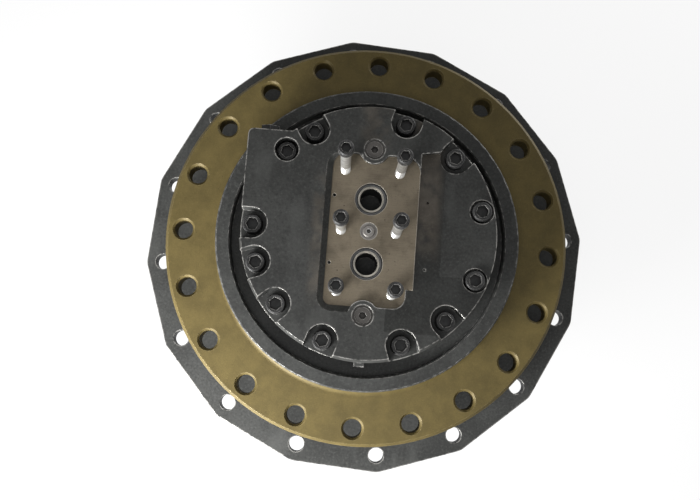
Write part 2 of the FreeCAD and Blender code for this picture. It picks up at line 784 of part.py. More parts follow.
def swash_plate():
    """Tilting plate with two half round runners on its back, at its full angle."""
    plate = ring(SWASH_BORE_R, SWASH_R, SWASH_PIVOT_Z - SWASH_THICK, SWASH_PIVOT_Z)
    for side in (-1, 1):
        start = V(side * (CRADLE_INNER_X + 1), 0, SWASH_PIVOT_Z)
        length = CRADLE_OUTER_X - CRADLE_INNER_X - 2
        runner = Part.makeCylinder(CRADLE_R, length, start, V(side, 0, 0))
        lower = box(-100, 100, -100, 100, SWASH_PIVOT_Z - 50, SWASH_PIVOT_Z - SWASH_THICK / 2)
        plate = plate.fuse(runner.common(lower))
    return tilted(plate)


def swash_cradle():
    """Two saddles on the spindle's floor that the swash plate's runners rock in."""
    saddles = []
    groove = Part.makeCylinder(CRADLE_R + RUNNING_FIT, 200, V(-100, 0, SWASH_PIVOT_Z), V(1, 0, 0))
    for side in (-1, 1):
        xs = sorted((side * CRADLE_INNER_X, side * CRADLE_OUTER_X))
        saddle = box(
            xs[0], xs[1], -CRADLE_HALF_LENGTH, CRADLE_HALF_LENGTH, FLOOR_Z, FLOOR_Z + CRADLE_HEIGHT
        )
        saddles.append(saddle.cut(groove))
    return Part.makeCompound(saddles)


def valve_plate():
    """Port plate with an inlet and an outlet kidney slot."""
    plate = ring(SHAFT_R + 0.5, BARREL_R - 2, VALVE_PLATE_Z, HEAD_SEAT_Z)
    low, high = VALVE_PLATE_Z - 1, HEAD_SEAT_Z + 1
    slots = ring(PISTON_CIRCLE_R - KIDNEY_HALF_WIDTH, PISTON_CIRCLE_R + KIDNEY_HALF_WIDTH, low, high)
    for side in (-1, 1):
        xs = sorted((side * KIDNEY_GAP, side * BARREL_R))
        plate = plate.cut(slots.common(box(xs[0], xs[1], -BARREL_R, BARREL_R, low, high)))
    return plate


def brake_discs():
    """Friction discs that are splined to the barrel."""
    discs = []
    for n in range(BRAKE_DISCS):
        low = BRAKE_Z + 2 * n * (BRAKE_DISC_THICK + 0.1)
        discs.append(ring(BARREL_R, BRAKE_FACE_R, low, low + BRAKE_DISC_THICK))
    return Part.makeCompound(discs)


def brake_plates():
    """Steel plates between the discs, splined to the spindle's bore."""
    plates = []
    for n in range(-1, BRAKE_DISCS):
        low = BRAKE_Z + (2 * n + 1) * (BRAKE_DISC_THICK + 0.1)
        plates.append(ring(BRAKE_INNER_R, MOTOR_BORE_R, low, low + BRAKE_DISC_THICK))
    return Part.makeCompound(plates)


def brake_piston_z():
    return BRAKE_Z + 2 * BRAKE_DISCS * (BRAKE_DISC_THICK + 0.1)


def brake_piston():
    """Stepped ring that the spring pushes down on the brake plates."""
    low = brake_piston_z()
    return revolved(
        [
            (BRAKE_INNER_R, low),
            (MOTOR_BORE_R - RUNNING_FIT, low),
            (MOTOR_BORE_R - RUNNING_FIT, low + BRAKE_PISTON_THICK),
            (BRAKE_INNER_R + 12, low + BRAKE_PISTON_THICK),
            (BRAKE_INNER_R + 12, low + BRAKE_PISTON_THICK - 6),
            (BRAKE_INNER_R, low + BRAKE_PISTON_THICK - 6),
        ]
    )


def brake_spring():
    """Conical disc spring between the brake piston and the motor head."""
    low = brake_piston_z() + BRAKE_PISTON_THICK
    return revolved(
        [
            (MOTOR_BORE_R - 1, low),
            (MOTOR_BORE_R - 1, low + 4),
            (BRAKE_INNER_R + 2, HEAD_SEAT_Z),
            (BRAKE_INNER_R + 2, HEAD_SEAT_Z - 4),
        ]
    )


def shaft_bearing(bore_r, outer_r, low, high):
    """Cylindrical roller bearing: two races and the rollers between them."""
    middle_r = (bore_r + outer_r) / 2
    roller_r = (outer_r - bore_r) * 0.2
    inner = ring(bore_r, middle_r - roller_r - RUNNING_FIT, low, high)
    outer = ring(middle_r + roller_r + RUNNING_FIT, outer_r, low, high)
    count = int(2 * math.pi * middle_r / (roller_r * 2.8))
    turning = [cylinder(roller_r, low + 2, high - 2, x, y) for x, y in around(count, middle_r)]
    return Part.makeCompound([inner, outer] + turning)


# ---------------------------------------------------------------- motor head


def head_screw_places():
    turns = [math.radians(a) for a in HEAD_SCREW_ANGLES]
    return [(HEAD_SCREW_CIRCLE_R * math.cos(a), HEAD_SCREW_CIRCLE_R * math.sin(a)) for a in turns]


def upright_edges(shape, x, y):
    """The shape's straight upright edges that stand at x, y."""
    found = []
    for edge in shape.Edges:
        bounds = edge.BoundBox
        if bounds.ZLength > 1 and abs(bounds.Center.x - x) < 0.1 and abs(bounds.Center.y - y) < 0.1:
            found.append(edge)
    return found


def pad_pocket():
    """What the mill takes off the casting: the port pad's outline, notched round both plugs."""
    tool = box(PAD_LEFT_X, PAD_RIGHT_X, PAD_BOTTOM_Y, PAD_TOP_Y, PAD_Z, FACE_Z + 5)
    step_x = PAD_RIGHT_X - PAD_STEP_X
    step = box(step_x, PAD_RIGHT_X + 1, PAD_BOTTOM_Y - 1, PAD_BOTTOM_Y + PAD_STEP_Y, PAD_Z, FACE_Z + 5)
    tool = tool.cut(step)
    tool = tool.makeFillet(PAD_TOP_RIGHT_R, upright_edges(tool, PAD_RIGHT_X, PAD_TOP_Y))
    tool = tool.makeFillet(PAD_TOP_LEFT_R, upright_edges(tool, PAD_LEFT_X, PAD_TOP_Y))
    tool = tool.makeFillet(PAD_SLOPE_CORNER, upright_edges(tool, PAD_LEFT_X, PAD_BOTTOM_Y))
    tool = tool.makeFillet(PAD_STEP_R, upright_edges(tool, step_x, PAD_BOTTOM_Y))
    for y, edge_y in ((PAD_PLUG_Y, PAD_TOP_Y), (-PAD_PLUG_Y, PAD_BOTTOM_Y)):
        tool = tool.cut(cylinder(PAD_NOTCH_R, PAD_Z - 1, FACE_Z + 6, 0, y))
        half = math.sqrt(PAD_NOTCH_R**2 - (y - edge_y) ** 2)
        corners = upright_edges(tool, half, edge_y) + upright_edges(tool, -half, edge_y)
        tool = tool.makeFillet(PAD_NOTCH_CORNER_R, corners)
    return tool


def pad_slope():
    """The slanted wall from the casting's face down to the pad, on the pad's left and lower left."""
    left = PAD_LEFT_X + PAD_SLOPE_CORNER
    low = PAD_BOTTOM_Y + PAD_SLOPE_CORNER
    top = PAD_TOP_Y - PAD_SLOPE_CORNER - PAD_SLOPE
    corners = [V(left, low, 0), V(0, low, 0), V(0, top, 0), V(left, top, 0)]
    core = Part.makePolygon(corners + corners[:1])
    foot = core.makeOffset2D(PAD_SLOPE_CORNER).translated(V(0, 0, PAD_Z))
    brim = core.makeOffset2D(PAD_SLOPE_CORNER + PAD_SLOPE).translated(V(0, 0, FACE_Z))
    slope = Part.makeLoft([foot, brim], True, True)
    slope = slope.common(box(PAD_LEFT_X - 20, -14, PAD_BOTTOM_Y - 20, PAD_TOP_Y, PAD_Z - 1, FACE_Z))
    return slope.cut(cylinder(PAD_NOTCH_R, PAD_Z - 1, FACE_Z + 1, 0, -PAD_PLUG_Y))


def low_side():
    """What the casting lacks right of the pad: a ramp down to a lower face, out to the rim.

    The lower face rises back to the upper one near the rim at -Y, with no step between them.
    """
    slope = (PAD_Z - 1 - LOW_FACE_Z) / (RAMP_X - PAD_RIGHT_X)
    brow_x = RAMP_X - (FACE_Z - LOW_FACE_Z) / slope
    profile = [
        V(brow_x, -200, FACE_Z),
        V(RAMP_X, -200, LOW_FACE_Z),
        V(200, -200, LOW_FACE_Z),
        V(200, -200, FACE_Z + 5),
        V(brow_x, -200, FACE_Z + 5),
    ]
    ramp = Part.Face(Part.makePolygon(profile + profile[:1])).extrude(V(0, 400, 0))
    plan = [
        V(brow_x, -200, 0),
        V(brow_x, PAD_BOTTOM_Y + PAD_STEP_Y, 0),
        V(PAD_RIGHT_X, PAD_BOTTOM_Y + PAD_STEP_Y, 0),
        V(PAD_RIGHT_X, PAD_TOP_Y + 5, 0),
    ]
    plan += [V(x, y, 0) for x, y in LOW_FACE_CORNERS]
    plan += [V(200, LOW_FACE_CORNERS[-1][1], 0), V(200, -200, 0)]
    area = Part.Face(Part.makePolygon(plan + plan[:1])).extrude(V(0, 0, FACE_Z + 10))
    run_out = [
        V(0, 200, LOW_FACE_Z - 1),
        V(0, RAMP_END_LOW_Y, LOW_FACE_Z - 1),
        V(0, RAMP_END_LOW_Y, LOW_FACE_Z),
        V(0, RAMP_END_HIGH_Y, FACE_Z),
        V(0, RAMP_END_HIGH_Y, FACE_Z + 5),
        V(0, 200, FACE_Z + 5),
    ]
    end = Part.Face(Part.makePolygon(run_out + run_out[:1])).extrude(V(200, 0, 0))
    return ramp.common(area).common(end)


def screw_pockets():
    """Pockets for the head screws: most open to the rim as a U, three are plain round ones."""
    cuts = []
    for angle, (x, y) in zip(HEAD_SCREW_ANGLES, head_screw_places()):
        radius = PLAIN_POCKET_R if angle in PLAIN_POCKETS else POCKET_R
        pocket = cylinder(radius, HEAD_FLANGE_Z, FACE_Z + 5, x, y)
        if angle not in PLAIN_POCKETS:
            mouth = box(0, 50, -radius, radius, HEAD_FLANGE_Z, FACE_Z + 5)
            mouth.rotate(V(0, 0, 0), UP, angle)
            mouth.translate(V(x, y, 0))
            pocket = pocket.fuse(mouth)
        cuts += [pocket, cylinder(HEAD_SCREW_R, HEAD_SEAT_Z - 1, HEAD_FLANGE_Z + 1, x, y)]
    return cuts


def motor_head():
    """Cast port block: a round flange, a square valve lug on one side and a milled port pad."""
    casting = revolved(
        [
            (0, HEAD_SEAT_Z),
            (HEAD_R, HEAD_SEAT_Z),
            (HEAD_R, FACE_Z - 12),
            (FACE_R, FACE_Z),
            (0, FACE_Z),
        ]
    )
    lug = box(LUG_LEFT_X, -70, 30, LUG_TOP_Y, LUG_LOW_Z, FACE_Z)
    lug = lug.makeFillet(LUG_CORNER_R, upright_edges(lug, LUG_LEFT_X, LUG_TOP_Y))
    side = box(LUG_LEFT_X, -100, LUG_SIDE_LOW_Y, 40, LUG_LOW_Z, FACE_Z)
    nub = box(-NUB_HALF_WIDTH, NUB_HALF_WIDTH, -HEAD_R - 5, -HEAD_R + 5, FACE_Z - 30, FACE_Z - 16)
    casting = casting.fuse([lug, side, nub])
    cuts = screw_pockets() + [pad_pocket(), pad_slope(), low_side()]
    cuts.append(ring_groove(HEAD_RING_R, HEAD_RING_THICK, HEAD_SEAT_Z, 1))
    cuts += [cylinder(radius, FACE_Z - 16, FACE_Z + 1, x, y) for x, y, radius in DOWEL_HOLES]
    for y in PORT_Y:
        cuts.append(cylinder(PORT_SEAL_R, PAD_Z - PORT_SEAL_DEPTH, PAD_Z + 1, 0, y))
        cuts.append(cylinder(PORT_R, PAD_Z - PORT_DEPTH, PAD_Z, 0, y))
    for x, y, _ in PORT_SCREWS:
        cuts.append(cylinder(PORT_SCREW_R, PAD_Z - PORT_SCREW_DEPTH, PAD_Z + 1, x, y))
    for y in (PAD_PLUG_Y, -PAD_PLUG_Y):
        cuts.append(cylinder(PAD_PLUG_R, PAD_Z - PAD_PLUG_DEPTH, FACE_Z + 1, 0, y))
    cuts.append(cylinder(CENTRE_PLUG_R, PAD_Z - CENTRE_PLUG_DEPTH, PAD_Z + 1, 0, CENTRE_PLUG_Y))
    cuts.append(cylinder(TOP_BEARING_R, HEAD_SEAT_Z - 1, HEAD_SEAT_Z + TOP_BEARING_DEPTH))
    cuts.append(cylinder(SHAFT_TOP_R + 3, HEAD_SEAT_Z, SHAFT_TOP_Z + 4))
    cuts.append(along_y(SPOOL_R + RUNNING_FIT, SPOOL_BORE_Y, LUG_TOP_Y + 1))
    return casting.cut(cuts)


def along_y(radius, y0, y1):
    """Cylinder on the valve spool's own axis."""
    return Part.makeCylinder(radius, y1 - y0, V(SPOOL_X, y0, SPOOL_Z), V(0, 1, 0))


def valve_spool():
    """Counterbalance spool: lands and waists in the lug's bore."""
    low = SPOOL_BORE_Y + 8
    spool = along_y(SPOOL_R, low, low + SPOOL_LENGTH)
    for share in (0.2, 0.5, 0.8):
        middle = low + share * SPOOL_LENGTH
        waist = along_y(SPOOL_R + 1, middle - 6, middle + 6)
        spool = spool.cut(waist.cut(along_y(SPOOL_R - SPOOL_WAIST, middle - 7, middle + 7)))
    return spool


def lug_plug():
    """Hexagon plug that closes the spool's bore, with its washer face on the lug."""
    stem = along_y(SPOOL_R + RUNNING_FIT, LUG_TOP_Y - 10, LUG_TOP_Y)
    collar = along_y(LUG_PLUG_COLLAR_R, LUG_TOP_Y, LUG_TOP_Y + LUG_PLUG_COLLAR)
    hexagon = hex_prism(LUG_PLUG_HEX, 0, LUG_PLUG_HEX_HEIGHT)
    hexagon.rotate(V(0, 0, 0), UP, 30)
    hexagon.rotate(V(0, 0, 0), V(1, 0, 0), -90)
    hexagon.translate(V(SPOOL_X, LUG_TOP_Y + LUG_PLUG_COLLAR, SPOOL_Z))
    return stem.fuse([collar, hexagon])


def pad_plugs():
    """Socket plugs in the bosses above and below the ports."""
    plugs = []
    for y in (PAD_PLUG_Y, -PAD_PLUG_Y):
        plug = cylinder(PAD_PLUG_R, PAD_Z - PAD_PLUG_DEPTH, FACE_Z - 2, 0, y)
        rim = ring(PAD_PLUG_R - PAD_PLUG_RIM, PAD_PLUG_R + 1, FACE_Z - 3.5, FACE_Z)
        plug = plug.cut(rim.translated(V(0, y, 0)))
        plugs.append(plug.cut(hex_prism(PAD_PLUG_SOCKET, FACE_Z - 9, FACE_Z, 0, y)))
    return Part.makeCompound(plugs)


def centre_plug():
    """Small plug between the two ports, with a raised middle."""
    y = CENTRE_PLUG_Y
    plug = cylinder(CENTRE_PLUG_R, PAD_Z - CENTRE_PLUG_DEPTH, PAD_Z - 1, 0, y)
    dome = cylinder(CENTRE_PLUG_R - CENTRE_PLUG_RIM, PAD_Z - 1, PAD_Z + 1, 0, y)
    dome = dome.makeChamfer(1.2, [e for e in dome.Edges if e.BoundBox.ZMin > PAD_Z + 0.5])
    return plug.fuse(dome).cut(hex_prism(CENTRE_PLUG_SOCKET, PAD_Z - 4, PAD_Z + 2, 0, y))


def port_seals():
    """Rubber rings in the counterbores of the two oil ports."""
    low = PAD_Z - PORT_SEAL_DEPTH
    return Part.makeCompound([rubber_ring(PORT_RING_R, PORT_RING_THICK, low, 0, y) for y in PORT_Y])


def head_screws():
    """Socket screws down in their pockets, through the motor head into the spindle."""
    screws = [
        socket_screw(
            x,
            y,
            HEAD_FLANGE_Z,
            HEAD_SCREW_HEAD_R,
            HEAD_SCREW_HEAD_HEIGHT,
            HEAD_SCREW_R,
            HEAD_FLANGE_Z - HEAD_SEAT_Z + HEAD_SCREW_DEPTH - 2,
        )
        for x, y in head_screw_places()
    ]
    return Part.makeCompound(screws)


def port_screws():
    """Long socket screws left standing in the pad; each stands at its own height."""
    screws = []
    for x, y, height in PORT_SCREWS:
        seat = PAD_Z + height - PORT_SCREW_HEAD_HEIGHT
        length = height - PORT_SCREW_HEAD_HEIGHT + PORT_SCREW_DEPTH - 2
        screws.append(
            socket_screw(
                x, y, seat, PORT_SCREW_HEAD_R, PORT_SCREW_HEAD_HEIGHT, PORT_SCREW_R, length
            )
        )
    return Part.makeCompound(screws)


def fixed_parts():
    save("spindle", spindle())
    save("motor_head", motor_head())
    save("head_screws", head_screws())
    save("port_screws", port_screws())
    save("port_seals", port_seals())
    save("pad_plugs", pad_plugs())
    save("centre_plug", centre_plug())
    save("lug_plug", lug_plug())
    save("carrier_2", carrier_2())
    save("carrier_bolts", carrier_bolts())
    save("stage_2_pins", pins(SUN_2_TEETH, PIN_2_R, STAGE_2_Z - WASHER_THICK - 2, HUB_JOINT_Z))
    save("stage_2_washers", washers(SUN_2_TEETH, PIN_2_R, STAGE_2_Z, STAGE_2_WIDTH))
    save("head_ring", head_ring())
    save("fixed_seal_ring", seal_ring(SEAL_FACE_Z + RUNNING_FIT, 1))
    save("fixed_seal_rubber", seal_rubber(SEAL_FACE_Z + RUNNING_FIT, 1))


def motor_parts():
    save("motor_shaft", motor_shaft())
    save("cylinder_barrel", cylinder_barrel())
    save("pistons", pistons())
    save("swash_plate", swash_plate())
    save("swash_cradle", swash_cradle())
    save("valve_plate", valve_plate())
    save("brake_discs", brake_discs())
    save("brake_plates", brake_plates())
    save("brake_piston", brake_piston())
    save("brake_spring", brake_spring())
    save("valve_spool", valve_spool())
    save("lower_shaft_bearing", shaft_bearing(SHAFT_R + RUNNING_FIT, SHAFT_BEARING_R, 194, 212))
    top = HEAD_SEAT_Z + TOP_BEARING_DEPTH
    save("upper_shaft_bearing", shaft_bearing(SHAFT_TOP_R + RUNNING_FIT, TOP_BEARING_R, top - 16, top))


def hub_parts():
    save("hub", hub())
    save("ring_gear", ring_gear())
    save("gear_cover", gear_cover())
    save("cover_bolts", cover_bolts())
    save("cover_plugs", cover_plugs())
    save("thrust_button", thrust_button())
    save("joint_rings", joint_rings())
    save("hub_seal_ring", seal_ring(SEAL_FACE_Z, -1))
    save("hub_seal_rubber", seal_rubber(SEAL_FACE_Z, -1))
    main_bearings()


def gear_train():
    save("sun_1", sun_1())
    save("sun_2", sun_2())
    save("carrier_1", carrier_1())
    pin_top = stage_1_top() + CARRIER_1_THICK
    save("stage_1_pins", pins(SUN_1_TEETH, PIN_1_R, STAGE_1_Z - WASHER_THICK - 2, pin_top))
    save("stage_1_washers", washers(SUN_1_TEETH, PIN_1_R, STAGE_1_Z, STAGE_1_WIDTH))
    planets(1, SUN_1_TEETH, STAGE_1_Z, STAGE_1_WIDTH, PIN_1_R)
    planets(2, SUN_2_TEETH, STAGE_2_Z, STAGE_2_WIDTH, PIN_2_R)


fixed_parts()
motor_parts()
hub_parts()
gear_train()
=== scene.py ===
"""Excavator final drive: finishes, detailed fasteners and seals, floor, light and camera.

Metres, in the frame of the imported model. Laid out as an add-on and run as a script.
"""

import json
import math
from collections import namedtuple

import bpy
from bpy.props import FloatProperty, FloatVectorProperty, IntProperty, PointerProperty
from mathutils import Matrix, Vector


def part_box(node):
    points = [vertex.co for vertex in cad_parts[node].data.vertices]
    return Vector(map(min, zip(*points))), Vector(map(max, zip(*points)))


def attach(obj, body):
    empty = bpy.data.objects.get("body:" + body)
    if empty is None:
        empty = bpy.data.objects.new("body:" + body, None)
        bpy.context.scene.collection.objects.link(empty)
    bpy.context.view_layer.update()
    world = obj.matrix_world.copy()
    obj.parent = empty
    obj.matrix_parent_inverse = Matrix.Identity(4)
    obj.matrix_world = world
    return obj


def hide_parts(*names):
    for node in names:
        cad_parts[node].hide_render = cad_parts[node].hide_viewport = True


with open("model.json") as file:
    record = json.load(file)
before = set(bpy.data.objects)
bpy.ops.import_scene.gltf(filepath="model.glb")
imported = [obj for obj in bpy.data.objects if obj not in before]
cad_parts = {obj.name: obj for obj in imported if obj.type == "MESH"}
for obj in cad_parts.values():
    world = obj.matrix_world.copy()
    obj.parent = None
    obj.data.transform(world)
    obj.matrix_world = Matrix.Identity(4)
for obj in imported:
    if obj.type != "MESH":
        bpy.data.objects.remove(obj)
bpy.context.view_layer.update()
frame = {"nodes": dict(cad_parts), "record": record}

bl_info = {
    "name": "Excavator final drive",
    "version": (1, 0, 0),
    "blender": (4, 5, 0),
    "location": "View3D > Sidebar > Final Drive",
    "description": "Dresses the final drive's solids with finishes and detailed fasteners",
    "category": "Object",
}

MM = 0.001

# places that the motor head, its pad and the screws share
PAD_Z = 444 * MM
FACE_Z = 450 * MM
LOW_FACE_Z = 436 * MM
PAD_LEFT_X = -48.5 * MM
PAD_RIGHT_X = 57.6 * MM
PAD_BOTTOM_Y = -90.3 * MM
PAD_TOP_Y = 94.3 * MM
RAMP_X = 89 * MM
RAMP_FADE_Y = (-50 * MM, 12 * MM)
PAD_STEP_X = 48.7 * MM
PAD_STEP_Y = -66.3 * MM
CENTRE_PLUG_Y = 1 * MM
PORT_Y = (-38.5 * MM, 40 * MM)
PORT_SEAL_FLOOR_Z = 441 * MM
# each port seal: a flat backing ring inside a round rubber ring
BACKING_R = 16 * MM
BACKING_BORE_R = 13.7 * MM
BACKING_HEIGHT = 2.5 * MM
BACKING_CHAMFER = 0.3 * MM
SEAL_R = 17.65 * MM
SEAL_SECTION_R = 1.6 * MM
# frame flange and pilot of the spindle
FLANGE_TOP_Z = 345 * MM
FLANGE_LOW_Z = FLANGE_TOP_Z - 28 * MM
PILOT_R = 192.5 * MM
# fasteners
HEAD_SCREW_ANGLES = (15, 45, 75, 122, 139, 180, 199, 222, 251, 290, 315, 340)
HEAD_SCREW_CIRCLE_R = 140.5 * MM
HEAD_SEAT_Z = 425 * MM
HEAD_SCREW_R = 8 * MM
HEAD_SCREW_HEAD_R = 12 * MM
HEAD_SCREW_HEAD_HEIGHT = 16 * MM
PORT_SCREW_R = 6 * MM
PORT_SCREW_HEAD_R = 9 * MM
PORT_SCREW_HEAD_HEIGHT = 12 * MM
COVER_BOLTS = 16
COVER_BOLT_CIRCLE_R = 202 * MM
COVER_BOLT_ACROSS_FLATS = 22 * MM
COVER_BOLT_R = 7 * MM
COVER_BOLT_CORNER = 1.9 * MM
COVER_RIM_Z = 22 * MM
WASHER_R = 10.8 * MM
WASHER_HEIGHT = 0.6 * MM
# x and y in mm of each screw that stands in the pad, and how far its head is above the pad
PORT_SCREWS = (
    (-33.5, 74.0, 113.0),
    (32.5, 74.0, 96.0),
    (-33.5, 0.5, 95.0),
    (32.5, 0.5, 105.0),
    (-33.5, -73.5, 82.0),
    (32.5, -73.5, 84.0),
)
# colours of small marks, and of the painted shade in sockets and hollows
GOLD_SPOT = (0.030, 0.024, 0.015)
WORN_GOLD = (0.52, 0.43, 0.26)
PAD_PIT = (0.022, 0.019, 0.016)
BRIGHT_PAD = (0.55, 0.52, 0.46)
BRIGHT_STEEL = (0.72, 0.72, 0.71)
SCREW_SOCKET_SHADE = (0.003, 0.003, 0.003)
PLUG_SOCKET_SHADE = (0.004, 0.004, 0.004)
PLUG_HOLLOW_SHADE = (0.01, 0.009, 0.008)


# ---------------------------------------------------------------- what a user would change


def colour_property(name, description, default):
    return FloatVectorProperty(
        name=name,
        description=description,
        default=default,
        subtype="COLOR",
        size=3,
        min=0.0,
        max=1.0,
    )


def length_property(name, description, default):
    return FloatProperty(
        name=name, description=description, default=default, min=0.0, unit="LENGTH", precision=5
    )


def place_property(name, description, default):
    return FloatVectorProperty(
        name=name, description=description, default=default, subtype="XYZ"
    )


def power_property(name, description, default):
    return FloatProperty(
        name=name, description=description, default=default, min=0.0, unit="POWER"
    )


def share_property(name, description, default):
    return FloatProperty(
        name=name, description=description, default=default, min=0.0, max=1.0, subtype="FACTOR"
    )


class FinishSettings(bpy.types.PropertyGroup):
    """Colours of the drive's finishes."""

    paint: colour_property("Paint", "Charcoal paint of the castings", (0.027, 0.0275, 0.0262))
    ramp: colour_property("Thin paint", "Brownish paint beside the pad", (0.068, 0.060, 0.050))
    gold: colour_property("Gold", "Olive gold coating of the frame flange", (0.092, 0.070, 0.025))
    pad: colour_property("Port pad", "Milled steel of the port pad", (0.118, 0.099, 0.072))
    worn: colour_property("Worn edge", "Bare metal on worn edges", (0.36, 0.35, 0.33))
    zinc: colour_property("Zinc", "Plating of the long screws", (0.62, 0.61, 0.58))
    oxide: colour_property("Black oxide", "Black finish of screws", (0.011, 0.011, 0.011))
    steel: colour_property("Steel", "Machined steel of gears and races", (0.42, 0.42, 0.42))
    casting: colour_property("Cast steel", "Unpainted castings inside", (0.20, 0.19, 0.18))
    bronze: colour_property("Bronze", "Thrust washers and valve plate", (0.48, 0.32, 0.14))
    lining: colour_property("Brake lining", "Friction discs", (0.10, 0.075, 0.055))
    plug: colour_property("Plugs", "Socket plugs beside the ports", (0.060, 0.056, 0.052))
    rubber: colour_property("Rubber", "Seals", (0.018, 0.018, 0.019))
    backing: colour_property("Backing ring", "Ring inside each port seal", (0.23, 0.215, 0.185))
    edge_reach: length_property("Edge rounding", "Radius of the castings' edges", 1.2 * MM)


class FastenerSettings(bpy.types.PropertyGroup):
    """Sizes of the details on screws and bolts."""

    knurls: IntProperty(
        name="Knurls", description="Ridges round a cap screw's head", default=40, min=12
    )
    knurl_depth: length_property("Knurl depth", "Depth of a head's ridges", 0.35 * MM)
    head_chamfer: length_property("Head chamfer", "Chamfer on a cap screw's head", 1.4 * MM)
    pitch: length_property("Thread pitch", "Pitch of the port screws' thread", 1.75 * MM)
    thread_depth: length_property("Thread depth", "Depth of the port screws' thread", 0.85 * MM)
    thread_length: length_property("Thread length", "Thread that stands above the pad", 28 * MM)


class StudioSettings(bpy.types.PropertyGroup):
    """Floor, light and camera."""

    lens: FloatProperty(
        name="Lens", description="Focal length in mm", default=45.36, min=10.0
    )
    camera_place: place_property("Camera", "Where the camera is", (-0.0226, -0.1543, 1.4912))
    camera_aim: place_property("Aim", "What the camera looks at", (-0.0205, -0.0110, 0.345))
    camera_up: place_property("Up", "Which way is up in the view", (-0.0768, 0.9893, 0.1236))
    key_place: place_property("Key lamp", "Where the key lamp is", (-0.52, -0.67, 0.61))
    key_power: power_property("Key power", "Power of the key lamp", 29.0)
    key_size: length_property("Key size", "Side of the key lamp", 0.4)
    box_place: place_property("Soft box", "Where the soft box is", (-0.10, -0.38, 1.90))
    box_power: power_property("Soft box power", "Power of the soft box", 6.0)
    box_size: length_property("Soft box size", "Side of the soft box", 0.5)
    rim_place: place_property("Rim lamp", "Where the low lamp behind is", (1.1, 1.3, 0.40))
    rim_power: power_property("Rim power", "Power of the low lamp behind", 14.0)
    rim_size: length_property("Rim size", "Side of the low lamp behind", 0.8)
    sky: share_property("Sky light", "Even light from all round", 0.14)
    floor_glow: share_property("Floor glow", "Share of white that ignores shadow", 0.86)
    floor_size: length_property("Floor size", "Side of the floor", 12.0)


# ---------------------------------------------------------------- shader maths


class Signal:
    """A node's output socket, which Python's operators work on by adding Math nodes."""

    def __init__(self, shader, socket):
        self.shader = shader
        self.socket = socket

    def __add__(self, other):
        return self.shader.maths("ADD", self, other)

    __radd__ = __add__

    def __sub__(self, other):
        return self.shader.maths("SUBTRACT", self, other)

    def __rsub__(self, other):
        return self.shader.maths("SUBTRACT", other, self)

    def __mul__(self, other):
        return self.shader.maths("MULTIPLY", self, other)

    __rmul__ = __mul__

    def __pow__(self, other):
        return self.shader.maths("POWER", self, other)

    def higher(self, other):
        return self.shader.maths("MAXIMUM", self, other)

    def wave(self):
        return self.shader.maths("SINE", self)

    def rise(self, start, end, low=0.0, high=1.0):
        """A smooth step from low to high as the signal goes from start to end."""
        return self.shader.node(
            "ShaderNodeMapRange",
            {"interpolation_type": "SMOOTHSTEP"},
            {"Value": self, "From Min": start, "From Max": end, "To Min": low, "To Max": high},
        )

    def within(self, low, high, soft=0.4 * MM):
        """1 between low and high, with soft ends."""
        return self.rise(low - soft, low) * self.rise(high + soft, high)


Coat = namedtuple("Coat", "colour roughness metallic height")


def tone(colour, factor):
    """The colour made darker or lighter."""
    return tuple(min(channel * factor, 1.0) for channel in colour)


